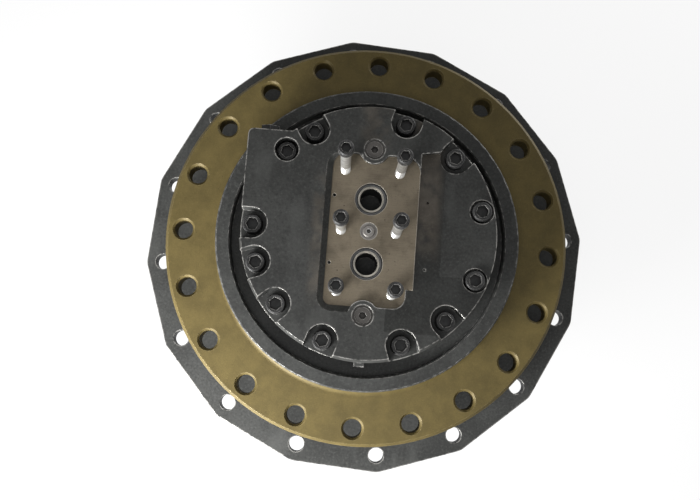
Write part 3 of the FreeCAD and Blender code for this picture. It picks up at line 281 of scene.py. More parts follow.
class Shader:
    """A material that is written as expressions."""

    def __init__(self, name):
        self.material = bpy.data.materials.new(name)
        self.material.use_nodes = True
        self.tree = self.material.node_tree
        self.tree.nodes.clear()
        self.place = self.node("ShaderNodeTexCoord", {}, {}, "Object")
        self.x = self.part(self.place, "X")
        self.y = self.part(self.place, "Y")
        self.z = self.part(self.place, "Z")
        self.radius = (self.x * self.x + self.y * self.y) ** 0.5

    def node(self, kind, settings, inputs, output=0):
        """Adds a node, sets it up, gives its sockets their values or links, and returns an output."""
        node = self.tree.nodes.new(kind)
        for name, value in settings.items():
            setattr(node, name, value)
        for name, value in inputs.items():
            socket = node.inputs[name]
            if isinstance(value, Signal):
                self.tree.links.new(value.socket, socket)
            elif socket.type == "RGBA":
                socket.default_value = (*tuple(value)[:3], 1.0)
            else:
                socket.default_value = value
        return Signal(self, node.outputs[output])

    def maths(self, operation, first, second=0.0):
        return self.node("ShaderNodeMath", {"operation": operation}, {0: first, 1: second})

    def part(self, vector, axis):
        return self.node("ShaderNodeSeparateXYZ", {}, {0: vector}, axis)

    def vector(self, x, y, z):
        return self.node("ShaderNodeCombineXYZ", {}, {0: x, 1: y, 2: z})

    def mix(self, share, first, second):
        """A colour that goes from first to second as share goes from 0 to 1."""
        return self.node("ShaderNodeMix", {"data_type": "RGBA"}, {0: share, 6: first, 7: second}, 2)

    def noise(self, size, detail=3.0, roughness=0.5, vector=None):
        """Fractal noise from 0 to 1 whose largest blobs are about size metres across."""
        inputs = {
            "Vector": self.place if vector is None else vector,
            "Scale": 1.0 / size,
            "Detail": detail,
            "Roughness": roughness,
        }
        return self.node("ShaderNodeTexNoise", {}, inputs)

    def spots(self, size, radius):
        """1 inside scattered dots of about the given radius, one to each cell of the given size."""
        inputs = {"Vector": self.place, "Scale": 1.0 / size, "Randomness": 1.0}
        distance = self.node("ShaderNodeTexVoronoi", {"feature": "F1"}, inputs)
        return distance.rise(radius / size, 0.5 * radius / size)

    def edges(self, reach):
        """1 on outer edges, 0 further than reach from them and in inner corners."""
        settings = {"samples": 6, "inside": True, "only_local": True}
        inside = self.node("ShaderNodeAmbientOcclusion", settings, {"Distance": reach}, "AO")
        return (1.0 - inside).rise(0.12, 0.45)

    def creases(self, reach):
        """1 along every crease, outward or inward, blunt ones too, fading over reach."""
        rounded = self.node("ShaderNodeBevel", {"samples": 6}, {"Radius": reach}, "Normal")
        plain = self.node("ShaderNodeNewGeometry", {}, {}, "Normal")
        settings = {"operation": "DOT_PRODUCT"}
        likeness = self.node("ShaderNodeVectorMath", settings, {0: rounded, 1: plain}, "Value")
        return (1.0 - likeness).rise(0.008, 0.04)

    def hollow_shade(self, reach):
        """Mask for painted shade: 1 deep in sockets and corners, 0 in the open."""
        settings = {"samples": 6, "inside": False, "only_local": True}
        openness = self.node("ShaderNodeAmbientOcclusion", settings, {"Distance": reach}, "AO")
        return (1.0 - openness).rise(0.30, 0.65)

    def turned(self):
        """Fine rings round the drive's axis, as a lathe leaves them."""
        rings = self.vector(self.radius, self.z, 0.0)
        return self.noise(1.1 * MM, 4.0, 0.7, rings)

    def over(self, mask, below, above):
        """The coat above where the mask is 1, and the coat below where it is 0."""
        numbers = [b + (a - b) * mask for b, a in zip(below[1:], above[1:])]
        return Coat(self.mix(mask, below.colour, above.colour), *numbers)

    def finish(self, coat, depth, reach, shine=0.5):
        """Closes the material: the coat on a surface whose edges are rounded by reach."""
        rounded = self.node("ShaderNodeBevel", {"samples": 4}, {"Radius": reach}, "Normal")
        inputs = {"Height": coat.height, "Strength": 1.0, "Distance": depth, "Normal": rounded}
        normal = self.node("ShaderNodeBump", {}, inputs, "Normal")
        inputs = {
            "Base Color": coat.colour,
            "Roughness": coat.roughness,
            "Metallic": coat.metallic,
            "Specular IOR Level": shine,
            "Normal": normal,
        }
        surface = self.node("ShaderNodeBsdfPrincipled", {}, inputs)
        output = self.tree.nodes.new("ShaderNodeOutputMaterial")
        self.tree.links.new(surface.socket, output.inputs["Surface"])
        return self.material


# ---------------------------------------------------------------- coats


def paint_coat(shader, paint, worn):
    """Satin paint on a casting: cloudy, finely grained, rubbed through along its edges."""
    cloud = shader.noise(48 * MM, 3.0)
    grain = shader.noise(3.2 * MM, 4.0, 0.72)
    lumps = shader.noise(8 * MM, 2.0)
    colour = shader.mix(cloud.rise(0.34, 0.66), tone(paint, 0.80), tone(paint, 1.22))
    colour = shader.mix(grain.rise(0.50, 0.72) * 0.55, colour, tone(paint, 2.2))
    colour = shader.mix(grain.rise(0.50, 0.30) * 0.55, colour, tone(paint, 0.30))
    scuff = shader.noise(34 * MM, 3.0, 0.5, shader.vector(shader.x, shader.y * 0.3, shader.z))
    colour = shader.mix(scuff.rise(0.54, 0.72) * 0.55, colour, tone(paint, 1.9))
    patchy = shader.noise(6 * MM, 4.0)
    rubbed = shader.edges(2.0 * MM) * patchy.rise(0.34, 0.54)
    rubbed = rubbed.higher(shader.creases(1.3 * MM) * patchy.rise(0.46, 0.62) * 0.7)
    colour = shader.mix(rubbed * 0.85, colour, worn)
    roughness = 0.40 + grain * 0.22 - rubbed * 0.12
    return Coat(colour, roughness, rubbed * 0.7, grain * 0.6 + lumps)


def gold_coat(shader, gold):
    """Mottled olive gold chromate over a turned face, with darker stains and small marks."""
    mottle = shader.noise(22 * MM, 4.0, 0.6)
    stain = shader.noise(75 * MM, 3.0)
    grain = shader.noise(1.2 * MM, 3.0, 0.7)
    colour = shader.mix(mottle.rise(0.32, 0.68), tone(gold, 0.87), tone(gold, 1.12))
    colour = shader.mix(stain.rise(0.56, 0.70) * 0.25, colour, tone(gold, 0.55))
    colour = shader.mix(grain.rise(0.52, 0.76) * 0.40, colour, tone(gold, 1.9))
    colour = shader.mix(grain.rise(0.46, 0.28) * 0.40, colour, tone(gold, 0.42))
    colour = shader.mix(shader.spots(16 * MM, 0.7 * MM) * 0.7, colour, GOLD_SPOT)
    rubbed = shader.edges(1.6 * MM) * shader.noise(7 * MM, 3.0).rise(0.30, 0.52)
    colour = shader.mix(rubbed * 0.75, colour, WORN_GOLD)
    roughness = 0.40 + mottle * 0.20 - rubbed * 0.10
    return Coat(colour, roughness, 0.12 + rubbed * 0.5, grain * 0.5 + shader.turned() * 0.8)


def pad_coat(shader, pad):
    """Milled steel with straight tool marks, brown stains and small dark pits."""
    along = shader.vector(shader.x * 0.06, shader.y, shader.z)
    marks = shader.noise(1.0 * MM, 3.0, 0.6, along)
    stain = shader.noise(26 * MM, 5.0, 0.62)
    grain = shader.noise(1.3 * MM, 3.0, 0.6)
    colour = shader.mix(stain.rise(0.44, 0.72) * 0.8, tone(pad, 1.10), tone(pad, 0.66))
    colour = shader.mix(marks.rise(0.40, 0.66) * 0.22, colour, tone(pad, 1.6))
    colour = shader.mix(grain.rise(0.44, 0.27) * 0.45, colour, tone(pad, 0.35))
    colour = shader.mix(shader.spots(13 * MM, 0.9 * MM), colour, PAD_PIT)
    rubbed = shader.edges(1.0 * MM)
    colour = shader.mix(rubbed * 0.7, colour, BRIGHT_PAD)
    return Coat(colour, 0.46 + stain * 0.20, 0.25 + rubbed * 0.4, marks * 0.7 + grain * 0.4)


def steel_coat(shader, steel, rings):
    """Machined steel under a thin film of oil, with tool marks given as a height."""
    cloud = shader.noise(30 * MM, 4.0)
    colour = shader.mix(cloud.rise(0.35, 0.68), tone(steel, 0.72), tone(steel, 1.12))
    colour = shader.mix(rings.rise(0.35, 0.7) * 0.25, colour, tone(steel, 1.5))
    rubbed = shader.edges(1.2 * MM)
    colour = shader.mix(rubbed * 0.5, colour, BRIGHT_STEEL)
    return Coat(colour, 0.24 + cloud * 0.24, 0.92, rings)


def rough_coat(shader, colour, metallic, roughness, size):
    """A plain rough material with clouds and grain of about the given size."""
    cloud = shader.noise(size * 12, 3.0)
    grain = shader.noise(size, 4.0, 0.65)
    shade = shader.mix(cloud.rise(0.34, 0.66), tone(colour, 0.75), tone(colour, 1.2))
    shade = shader.mix(grain.rise(0.5, 0.75) * 0.4, shade, tone(colour, 1.8))
    return Coat(shade, roughness + grain * 0.2, metallic, grain)


def oxide_coat(shader, oxide, worn):
    """Black oxide on a screw, rubbed bright along its edges, with painted shade in its socket."""
    cloud = shader.noise(9 * MM, 4.0)
    grain = shader.noise(0.9 * MM, 3.0, 0.6)
    rubbed = shader.edges(0.9 * MM) * shader.noise(4 * MM, 3.0).rise(0.30, 0.50)
    colour = shader.mix(cloud.rise(0.35, 0.68), oxide, tone(oxide, 2.4))
    colour = shader.mix(rubbed * 0.8, colour, worn)
    # painted shade: near black deep in the hexagon socket, where light hardly reaches
    colour = shader.mix(shader.hollow_shade(6 * MM), colour, SCREW_SOCKET_SHADE)
    return Coat(colour, 0.38 + grain * 0.20, rubbed * 0.6, grain)


def zinc_coat(shader, zinc):
    """Bright zinc plating with faint dull patches."""
    cloud = shader.noise(7 * MM, 4.0)
    along = shader.vector(shader.x, shader.y, shader.z * 0.15)
    streak = shader.noise(1.5 * MM, 3.0, 0.6, along)
    colour = shader.mix(cloud.rise(0.40, 0.66) * 0.6, zinc, tone(zinc, 0.55))
    colour = shader.mix(streak.rise(0.5, 0.72) * 0.4, colour, tone(zinc, 0.62))
    return Coat(colour, 0.26 + cloud * 0.22, 0.85, streak)


# ---------------------------------------------------------------- finishes of whole pieces


def motor_head_finish(finish):
    """Painted casting, thinly painted round its pad; pad and counterbores are milled bare."""
    shader = Shader("motor_head_paint")
    coat = paint_coat(shader, finish.paint, finish.worn)
    thin = rough_coat(shader, finish.ramp, 0.1, 0.45, 1.8 * MM)
    on_ramp = shader.x.within(PAD_RIGHT_X, RAMP_X - 12 * MM, 14 * MM)
    on_ramp = on_ramp * shader.z.rise(FACE_Z - 5 * MM, PAD_Z) * shader.y.rise(*RAMP_FADE_Y)
    coat = shader.over(on_ramp * shader.noise(26 * MM, 4.0).rise(0.26, 0.56), coat, thin)
    beside = shader.x.within(PAD_LEFT_X - 15 * MM, PAD_LEFT_X - 9 * MM, 9 * MM)
    beside = beside * shader.y.within(-60 * MM, 40 * MM, 40 * MM)
    above = shader.x.within(-8 * MM, 8 * MM, 16 * MM)
    above = above * shader.y.rise(PAD_TOP_Y, PAD_TOP_Y + 20 * MM)
    on_face = shader.z.rise(FACE_Z - 0.8 * MM, FACE_Z - 0.3 * MM)
    handled = beside.higher(above * 0.8) * on_face
    coat = shader.over(handled * shader.noise(18 * MM, 4.0).rise(0.30, 0.62) * 0.7, coat, thin)
    milled = shader.x.within(PAD_LEFT_X, PAD_RIGHT_X)
    milled = milled * shader.y.within(PAD_BOTTOM_Y, PAD_TOP_Y)
    beyond_step = shader.x.rise(PAD_STEP_X, PAD_STEP_X + 0.4 * MM)
    beyond_step = beyond_step * shader.y.rise(PAD_STEP_Y, PAD_STEP_Y - 0.4 * MM)
    milled = milled * shader.z.rise(PAD_Z + 0.7 * MM, PAD_Z + 0.3 * MM) * (1.0 - beyond_step)
    milled = milled * shader.z.rise(PORT_SEAL_FLOOR_Z - 1 * MM, PORT_SEAL_FLOOR_Z - 0.5 * MM)
    coat = shader.over(milled, coat, pad_coat(shader, finish.pad))
    return shader.finish(coat, 0.22 * MM, finish.edge_reach, 0.16)


def spindle_finish(finish):
    """Gold frame flange, painted pilot and groove, bare turned steel elsewhere."""
    shader = Shader("spindle_gold")
    bare = steel_coat(shader, finish.steel, shader.turned())
    paint = paint_coat(shader, tone(finish.paint, 1.25), finish.worn)
    high_up = shader.z.rise(FLANGE_TOP_Z + 15 * MM, FLANGE_TOP_Z + 16 * MM)
    coat = shader.over(high_up, bare, paint)
    outside = shader.radius.rise(PILOT_R - 20 * MM, PILOT_R - 19 * MM)
    on_pilot = outside * shader.z.rise(FLANGE_TOP_Z + 4 * MM, FLANGE_TOP_Z + 5 * MM)
    coat = shader.over(on_pilot, coat, paint)
    on_flange = outside * shader.z.within(FLANGE_LOW_Z - 1 * MM, FLANGE_TOP_Z + 5.6 * MM)
    coat = shader.over(on_flange, coat, gold_coat(shader, finish.gold))
    return shader.finish(coat, 0.14 * MM, 0.8 * MM, 0.16)


def painted_finish(name, finish, factor):
    """Plain painted casting; its mating faces and bores stay hidden."""
    shader = Shader(name)
    coat = paint_coat(shader, tone(finish.paint, factor), finish.worn)
    return shader.finish(coat, 0.22 * MM, finish.edge_reach, 0.16)


def turned_finish(name, steel):
    shader = Shader(name)
    return shader.finish(steel_coat(shader, steel, shader.turned()), 0.04 * MM, 0.4 * MM)


def rough_finish(name, colour, metallic, roughness, size):
    shader = Shader(name)
    coat = rough_coat(shader, colour, metallic, roughness, size)
    return shader.finish(coat, 0.12 * size + 0.03 * MM, 0.5 * MM)


def oxide_finish(finish):
    shader = Shader("black_oxide")
    coat = oxide_coat(shader, finish.oxide, finish.worn)
    return shader.finish(coat, 0.05 * MM, 0.4 * MM, 0.2)


def zinc_finish(finish):
    shader = Shader("zinc_plating")
    return shader.finish(zinc_coat(shader, finish.zinc), 0.03 * MM, 0.3 * MM)


def plug_finish(finish):
    """Dull steel, with painted shade in its socket."""
    shader = Shader("plug_steel")
    coat = rough_coat(shader, finish.plug, 0.3, 0.42, 1.4 * MM)
    rubbed = shader.edges(0.9 * MM) * shader.noise(4 * MM, 3.0).rise(0.34, 0.56)
    colour = shader.mix(rubbed * 0.6, coat.colour, finish.worn)
    # painted shade: near black deep in the socket
    colour = shader.mix(shader.hollow_shade(5 * MM), colour, PLUG_SOCKET_SHADE)
    return shader.finish(coat._replace(colour=colour), 0.08 * MM, 0.4 * MM, 0.25)


def centre_plug_finish(finish):
    """Light steel with rings round the plug's own axis, and painted shade in its hollows."""
    shader = Shader("centre_plug_steel")
    steel = tone(finish.plug, 2.6)
    off = shader.y - CENTRE_PLUG_Y
    radius = (shader.x * shader.x + off * off) ** 0.5
    rings = (radius * (2 * math.pi / (1.6 * MM))).wave().rise(-1.0, 1.0)
    coat = steel_coat(shader, steel, rings)
    # painted shade: darker in the plug's hollows and corners
    colour = shader.mix(shader.hollow_shade(4 * MM), coat.colour, PLUG_HOLLOW_SHADE)
    colour = shader.mix(rings * 0.35, colour, tone(steel, 0.45))
    coat = Coat(colour, 0.38 + rings * 0.12, 0.5, rings)
    return shader.finish(coat, 0.10 * MM, 0.3 * MM)


# ---------------------------------------------------------------- putting finishes on nodes


def nodes_in_slot(slot):
    rows = frame["record"]["subparts"]
    return [row["node"] for row in rows if row["material_slot"] == slot]


def dress(material, *nodes):
    """Gives CAD nodes their finish; their meshes are left alone."""
    for node in nodes:
        for place in frame["nodes"][node].material_slots:
            place.material = material


def found_material(name):
    material = bpy.data.materials.get(name)
    if material is None:
        raise RuntimeError("run the finishes first: there is no material " + name)
    return material


# ---------------------------------------------------------------- modelling by operators


def active(piece):
    bpy.ops.object.select_all(action="DESELECT")
    piece.select_set(True)
    bpy.context.view_layer.objects.active = piece


def turned_piece(name, profile, sides, x=0.0, y=0.0):
    """A piece turned about an upright axis: a disc extruded and scaled up the profile."""
    bpy.ops.object.select_all(action="DESELECT")
    radius, height = profile[0]
    bpy.ops.mesh.primitive_circle_add(
        vertices=sides, radius=radius, fill_type="NGON", location=(x, y, height)
    )
    piece = bpy.context.object
    piece.name = name
    bpy.ops.object.transform_apply()
    bpy.ops.object.mode_set(mode="EDIT")
    bpy.ops.mesh.select_all(action="SELECT")
    for new_radius, new_height in profile[1:]:
        rise = (0, 0, new_height - height)
        bpy.ops.mesh.extrude_region_move(TRANSFORM_OT_translate={"value": rise})
        factor = new_radius / radius
        bpy.ops.transform.resize(value=(factor, factor, 1))
        radius, height = new_radius, new_height
    bpy.ops.mesh.select_all(action="SELECT")
    bpy.ops.mesh.normals_make_consistent(inside=False)
    bpy.ops.object.mode_set(mode="OBJECT")
    return piece


def cut_away(piece, cutter, operation="DIFFERENCE"):
    """Applies a Boolean with the cutter, and removes the cutter."""
    active(piece)
    modifier = piece.modifiers.new("cut", "BOOLEAN")
    modifier.operation = operation
    modifier.solver = "EXACT"
    modifier.object = cutter
    bpy.ops.object.modifier_apply(modifier=modifier.name)
    bpy.data.objects.remove(cutter)


def hexagon(across_flats, low, high, x, y):
    """Hexagonal prism with a corner towards +X."""
    bpy.ops.object.select_all(action="DESELECT")
    bpy.ops.mesh.primitive_cylinder_add(
        vertices=6,
        radius=across_flats / math.sqrt(3),
        depth=high - low,
        location=(x, y, (low + high) / 2),
        rotation=(0, 0, math.radians(30)),
    )
    piece = bpy.context.object
    bpy.ops.object.transform_apply()
    return piece


def groove_sides(piece, knurls, depth, x, y, low, high, radius):
    """Pulls every other vertex of a head's side in, which leaves ridges."""
    active(piece)
    step = math.pi / knurls
    for vertex in piece.data.vertices:
        dx, dy = vertex.co.x - x, vertex.co.y - y
        number = round(math.atan2(dy, dx) / step)
        on_side = abs(math.hypot(dx, dy) - radius) < 0.01 * MM
        vertex.select = on_side and low <= vertex.co.z <= high and number % 2 == 0
    for edge in piece.data.edges:
        edge.select = False
    for face in piece.data.polygons:
        face.select = False
    bpy.ops.object.mode_set(mode="EDIT")
    bpy.ops.mesh.select_mode(type="VERT")
    factor = 1 - depth / radius
    bpy.ops.transform.resize(value=(factor, factor, 1))
    bpy.ops.object.mode_set(mode="OBJECT")


def cap_screw(name, x, y, seat, head_r, head_height, shank_profile, sizes):
    """Socket head screw: turned shank and head, ridged side, chamfered top, hexagon socket."""
    sides = 2 * sizes.knurls
    top = seat + head_height
    chamfer = sizes.head_chamfer
    profile = shank_profile + [
        (head_r, seat),
        (head_r, seat + 0.8 * MM),
        (head_r, top - chamfer - 0.6 * MM),
        (head_r - 0.25 * MM, top - chamfer),
        (head_r - chamfer, top),
        (head_r * 0.70, top),
        (head_r * 0.70 - 0.3 * MM, top - 0.3 * MM),
    ]
    piece = turned_piece(name, profile, sides, x, y)
    ridge_low = seat + 0.5 * MM
    ridge_high = top - chamfer - 0.3 * MM
    groove_sides(piece, sizes.knurls, sizes.knurl_depth, x, y, ridge_low, ridge_high, head_r)
    socket = hexagon(head_r * 1.15, seat + head_height * 0.5, top + 2 * MM, x, y)
    cut_away(piece, socket)
    return piece


def smooth(piece, degrees=32):
    active(piece)
    bpy.ops.object.shade_smooth_by_angle(angle=math.radians(degrees))


def settle(piece, body, slot, node, *materials):
    """Gives a finished piece its materials and its place in the frame."""
    piece.data.materials.clear()
    for material in materials:
        piece.data.materials.append(material)
    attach(piece, body)
    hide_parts(node)


def copy_turned(piece, name, angle):
    """A copy with its own mesh, turned about the drive's axis."""
    copy = piece.copy()
    copy.data = piece.data.copy()
    copy.data.transform(Matrix.Rotation(angle, 4, "Z"))
    copy.name = name
    copy.data.name = name
    bpy.context.collection.objects.link(copy)
    return copy


# ---------------------------------------------------------------- operators


class FINALDRIVE_OT_castings(bpy.types.Operator):
    """Finishes of the painted castings and the frame flange"""

    bl_idname = "final_drive.castings"
    bl_label = "Castings"

    def execute(self, context):
        finish = context.scene.final_drive_finish
        dress(motor_head_finish(finish), "motor_head")
        dress(painted_finish("hub_paint", finish, 1.15), "hub")
        dress(painted_finish("ring_gear_paint", finish, 1.05), "ring_gear")
        dress(painted_finish("gear_cover_paint", finish, 1.0), "gear_cover")
        dress(spindle_finish(finish), "spindle")
        return {"FINISHED"}


class FINALDRIVE_OT_inner_pieces(bpy.types.Operator):
    """Finishes of gears, bearings, motor, brake and seals"""

    bl_idname = "final_drive.inner_pieces"
    bl_label = "Inner pieces"

    def execute(self, context):
        finish = context.scene.final_drive_finish
        dress(turned_finish("gear_steel", finish.steel), *nodes_in_slot("gear_steel"))
        races = turned_finish("bearing_steel", tone(finish.steel, 1.3))
        dress(races, *nodes_in_slot("bearing_steel"))
        cast = rough_finish("cast_steel", finish.casting, 0.6, 0.45, 2.5 * MM)
        dress(cast, *nodes_in_slot("cast_steel"))
        dress(turned_finish("bronze", finish.bronze), *nodes_in_slot("bronze"))
        lining = rough_finish("brake_lining", finish.lining, 0.0, 0.75, 1.5 * MM)
        dress(lining, *nodes_in_slot("friction"))
        rubber = rough_finish("rubber", finish.rubber, 0.0, 0.50, 1.0 * MM)
        dress(rubber, *nodes_in_slot("rubber"))
        return {"FINISHED"}


class FINALDRIVE_OT_small_fittings(bpy.types.Operator):
    """Finishes of plugs and of the screws that keep their solids"""

    bl_idname = "final_drive.small_fittings"
    bl_label = "Small fittings"

    def execute(self, context):
        finish = context.scene.final_drive_finish
        dress(oxide_finish(finish), *nodes_in_slot("black_screw"))
        dress(zinc_finish(finish), *nodes_in_slot("zinc_steel"))
        dress(plug_finish(finish), *nodes_in_slot("plug_steel"))
        dress(centre_plug_finish(finish), "centre_plug")
        return {"FINISHED"}


class FINALDRIVE_OT_head_screws(bpy.types.Operator):
    """Twelve socket screws down in the motor head's pockets"""

    bl_idname = "final_drive.head_screws"
    bl_label = "Head screws"

    def execute(self, context):
        sizes = context.scene.final_drive_fasteners
        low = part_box("head_screws")[0].z
        shank = [
            (HEAD_SCREW_R - 1 * MM, low),
            (HEAD_SCREW_R, low + 1 * MM),
            (HEAD_SCREW_R, HEAD_SEAT_Z),
        ]
        first = cap_screw(
            "head_screw_01",
            HEAD_SCREW_CIRCLE_R,
            0.0,
            HEAD_SEAT_Z,
            HEAD_SCREW_HEAD_R,
            HEAD_SCREW_HEAD_HEIGHT,
            shank,
            sizes,
        )
        smooth(first)
        screws = [first]
        for number, angle in enumerate(HEAD_SCREW_ANGLES[1:], 2):
            turn = math.radians(angle)
            screws.append(copy_turned(first, "head_screw_%02d" % number, turn))
        first.data.transform(Matrix.Rotation(math.radians(HEAD_SCREW_ANGLES[0]), 4, "Z"))
        black = found_material("black_oxide")
        for screw in screws:
            settle(screw, "frame_side", "black_screw", "head_screws", black)
        return {"FINISHED"}


class FINALDRIVE_OT_port_screws(bpy.types.Operator):
    """Six long screws that stand in the port pad, each at its own height"""

    bl_idname = "final_drive.port_screws"
    bl_label = "Port screws"

    def execute(self, context):
        sizes = context.scene.final_drive_fasteners
        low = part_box("port_screws")[0].z
        radius = PORT_SCREW_R
        root = radius - sizes.thread_depth
        turns = int((PAD_Z + sizes.thread_length - low) / sizes.pitch)
        for number, (x, y, height) in enumerate(PORT_SCREWS, 1):
            seat = PAD_Z + height * MM - PORT_SCREW_HEAD_HEIGHT
            shank = [(root, low)]
            for turn in range(turns):
                start = low + turn * sizes.pitch
                shank.append((radius, start + 0.45 * sizes.pitch))
                shank.append((radius, start + 0.55 * sizes.pitch))
                shank.append((root, start + sizes.pitch))
            shank.append((radius, shank[-1][1] + sizes.thread_depth))
            shank.append((radius, seat))
            screw = cap_screw(
                "port_screw_%02d" % number,
                x * MM,
                y * MM,
                seat,
                PORT_SCREW_HEAD_R,
                PORT_SCREW_HEAD_HEIGHT,
                shank,
                sizes,
            )
            for face in screw.data.polygons:
                face.material_index = 1 if face.center.z > seat - 0.2 * MM else 0
            smooth(screw)
            keep = [face.material_index for face in screw.data.polygons]
            zinc, black = found_material("zinc_plating"), found_material("black_oxide")
            settle(screw, "frame_side", "zinc_steel", "port_screws", zinc, black)
            screw.data.polygons.foreach_set("material_index", keep)
        return {"FINISHED"}


class FINALDRIVE_OT_port_seals(bpy.types.Operator):
    """Round rubber ring and flat backing ring in each oil port's counterbore"""

    bl_idname = "final_drive.port_seals"
    bl_label = "Port seals"

    def execute(self, context):
        finish = context.scene.final_drive_finish
        backing = rough_finish("backing_ring", finish.backing, 0.2, 0.40, 0.8 * MM)
        rubber = found_material("rubber")
        for name, y in zip(("port_seal_b", "port_seal_a"), PORT_Y):
            floor = PORT_SEAL_FLOOR_Z
            top = floor + BACKING_HEIGHT
            plate = [
                (BACKING_R, floor),
                (BACKING_R, top - BACKING_CHAMFER),
                (BACKING_R - BACKING_CHAMFER, top),
            ]
            ring = turned_piece(name, plate, 64, 0.0, y)
            hole = [(BACKING_BORE_R, floor - 2 * MM), (BACKING_BORE_R, top + 2.5 * MM)]
            bore = turned_piece("bore", hole, 64, 0.0, y)
            cut_away(ring, bore)
            bpy.ops.object.select_all(action="DESELECT")
            bpy.ops.mesh.primitive_torus_add(
                location=(0, y, floor + SEAL_SECTION_R),
                major_radius=SEAL_R,
                minor_radius=SEAL_SECTION_R,
                major_segments=64,
                minor_segments=16,
            )
            seal = bpy.context.object
            bpy.ops.object.transform_apply()
            seal.data.materials.append(rubber)
            ring.data.materials.clear()
            ring.data.materials.append(backing)
            ring.select_set(True)
            bpy.context.view_layer.objects.active = ring
            bpy.ops.object.join()
            smooth(ring)
            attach(ring, "frame_side")
            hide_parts("port_seals")
        return {"FINISHED"}


class FINALDRIVE_OT_cover_bolts(bpy.types.Operator):
    """Sixteen hexagon bolts under the gear cover's rim, with washers and chamfered heads"""

    bl_idname = "final_drive.cover_bolts"
    bl_label = "Cover bolts"

    def execute(self, context):
        box_low, box_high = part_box("cover_bolts")
        x = COVER_BOLT_CIRCLE_R
        washer_z = COVER_RIM_Z - WASHER_HEIGHT
        head = hexagon(COVER_BOLT_ACROSS_FLATS, box_low.z, washer_z, x, 0.0)
        head.name = "cover_bolt_01"
        past_corner = COVER_BOLT_ACROSS_FLATS / math.sqrt(3) + 0.2 * MM
        shape = [
            (COVER_BOLT_ACROSS_FLATS / 2, box_low.z - 0.01 * MM),
            (past_corner, box_low.z + COVER_BOLT_CORNER * 0.55),
            (past_corner, COVER_RIM_Z),
        ]
        cut_away(head, turned_piece("chamfer", shape, 64, x, 0.0), "INTERSECT")
        shank = [
            (WASHER_R, washer_z),
            (WASHER_R, COVER_RIM_Z),
            (COVER_BOLT_R, COVER_RIM_Z),
            (COVER_BOLT_R, box_high.z - 1 * MM),
            (COVER_BOLT_R - 1 * MM, box_high.z),
        ]
        stem = turned_piece("stem", shank, 48, x, 0.0)
        active(head)
        stem.select_set(True)
        bpy.ops.object.join()
        smooth(head)
        bolts = [head]
        for number in range(1, COVER_BOLTS):
            turn = 2 * math.pi * number / COVER_BOLTS
            bolts.append(copy_turned(head, "cover_bolt_%02d" % (number + 1), turn))
        for bolt in bolts:
            settle(bolt, "hub_side", "black_screw", "cover_bolts", found_material("black_oxide"))
        return {"FINISHED"}


class FINALDRIVE_OT_stage(bpy.types.Operator):
    """Floor, lamps, sky and camera"""

    bl_idname = "final_drive.stage"
    bl_label = "Stage"

    def execute(self, context):
        studio = context.scene.final_drive_studio
        bpy.ops.object.select_all(action="DESELECT")
        bpy.ops.mesh.primitive_plane_add(size=studio.floor_size)
        floor = context.object
        floor.name = "floor"
        floor.data.materials.append(floor_finish(studio.floor_glow))
        lamp(context, "key_lamp", studio.key_place, studio.key_power, studio.key_size)
        lamp(context, "soft_box", studio.box_place, studio.box_power, studio.box_size)
        lamp(context, "rim_lamp", studio.rim_place, studio.rim_power, studio.rim_size)
        sky_light(context.scene, studio.sky)
        context.scene.camera = camera(context, studio)
        context.scene.view_settings.view_transform = "Standard"
        return {"FINISHED"}


def lamp(context, name, place, power, size):
    """A square lamp that faces the drive and isn't itself in view."""
    data = bpy.data.lights.new(name, "AREA")
    data.shape = "SQUARE"
    data.size = size
    data.energy = power
    made = bpy.data.objects.new(name, data)
    made.location = place
    aim = Vector(context.scene.final_drive_studio.camera_aim) - made.location
    made.rotation_euler = aim.to_track_quat("-Z", "Y").to_euler()
    made.visible_camera = False
    context.collection.objects.link(made)


def seen_directly(shader):
    """1 for rays from the camera and for mirrored and refracted ones."""
    rays = "ShaderNodeLightPath"
    camera_ray = shader.node(rays, {}, {}, "Is Camera Ray")
    glossy_ray = shader.node(rays, {}, {}, "Is Glossy Ray")
    clear_ray = shader.node(rays, {}, {}, "Is Transmission Ray")
    return camera_ray.higher(glossy_ray).higher(clear_ray)


def floor_finish(glow):
    """Pale floor that is seen as white and keeps a faint shadow."""
    shader = Shader("pale_floor")
    plain = shader.node("ShaderNodeBsdfDiffuse", {}, {"Color": (0.95, 0.95, 0.95)})
    white = shader.node("ShaderNodeEmission", {}, {"Color": (1, 1, 1), "Strength": 1.0})
    share = seen_directly(shader) * glow
    mixed = shader.node("ShaderNodeMixShader", {}, {0: share, 1: plain, 2: white})
    output = shader.tree.nodes.new("ShaderNodeOutputMaterial")
    shader.tree.links.new(mixed.socket, output.inputs["Surface"])
    return shader.material


def sky_light(scene, level):
    """Even light that is seen as white."""
    world = bpy.data.worlds.new("studio_sky")
    world.use_nodes = True
    shader = Shader.__new__(Shader)
    shader.tree = world.node_tree
    shader.tree.nodes.clear()
    dim = shader.node("ShaderNodeBackground", {}, {"Color": (1, 1, 1), "Strength": level})
    white = shader.node("ShaderNodeBackground", {}, {"Color": (1, 1, 1), "Strength": 1.0})
    mixed = shader.node("ShaderNodeMixShader", {}, {0: seen_directly(shader), 1: dim, 2: white})
    output = shader.tree.nodes.new("ShaderNodeOutputWorld")
    shader.tree.links.new(mixed.socket, output.inputs["Surface"])
    scene.world = world


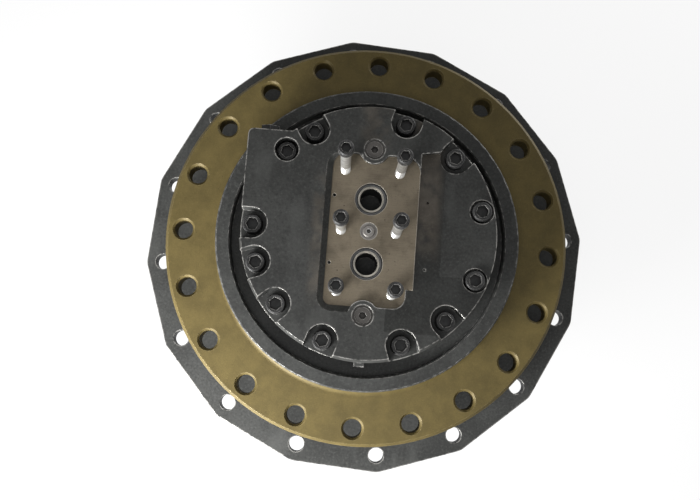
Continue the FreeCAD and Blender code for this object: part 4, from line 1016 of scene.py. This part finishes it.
def camera(context, studio):
    """The camera, set by where it is, what it looks at and which way is up."""
    eye = Vector(studio.camera_place)
    back = (eye - Vector(studio.camera_aim)).normalized()
    right = Vector(studio.camera_up).cross(back).normalized()
    up = back.cross(right)
    data = bpy.data.cameras.new("camera")
    data.lens = studio.lens
    data.sensor_width = 36.0
    data.clip_start = 0.05
    data.clip_end = 50.0
    made = bpy.data.objects.new("camera", data)
    turned = Matrix((right, up, back)).transposed().to_4x4()
    made.matrix_world = Matrix.Translation(eye) @ turned
    context.collection.objects.link(made)
    return made


OPERATORS = (
    FINALDRIVE_OT_castings,
    FINALDRIVE_OT_inner_pieces,
    FINALDRIVE_OT_small_fittings,
    FINALDRIVE_OT_head_screws,
    FINALDRIVE_OT_port_screws,
    FINALDRIVE_OT_port_seals,
    FINALDRIVE_OT_cover_bolts,
    FINALDRIVE_OT_stage,
)


class FINALDRIVE_PT_panel(bpy.types.Panel):
    """Sidebar panel that lists the drive's operators and settings."""

    bl_idname = "FINALDRIVE_PT_panel"
    bl_label = "Final Drive"
    bl_space_type = "VIEW_3D"
    bl_region_type = "UI"
    bl_category = "Final Drive"

    def draw(self, context):
        for operator in OPERATORS:
            self.layout.operator(operator.bl_idname)
        for group in SETTINGS:
            settings = getattr(context.scene, group)
            for name in settings.bl_rna.properties.keys():
                if name not in ("rna_type", "name"):
                    self.layout.prop(settings, name)


SETTINGS = {
    "final_drive_finish": FinishSettings,
    "final_drive_fasteners": FastenerSettings,
    "final_drive_studio": StudioSettings,
}
CLASSES = (*SETTINGS.values(), *OPERATORS, FINALDRIVE_PT_panel)


def register():
    for cls in CLASSES:
        bpy.utils.register_class(cls)
    for group, kind in SETTINGS.items():
        setattr(bpy.types.Scene, group, PointerProperty(type=kind))


def unregister():
    for group in SETTINGS:
        delattr(bpy.types.Scene, group)
    for cls in reversed(CLASSES):
        bpy.utils.unregister_class(cls)


def main():
    register()
    for operator in OPERATORS:
        group, name = operator.bl_idname.split(".")
        getattr(getattr(bpy.ops, group), name)()


if __name__ == "__main__":
    main()
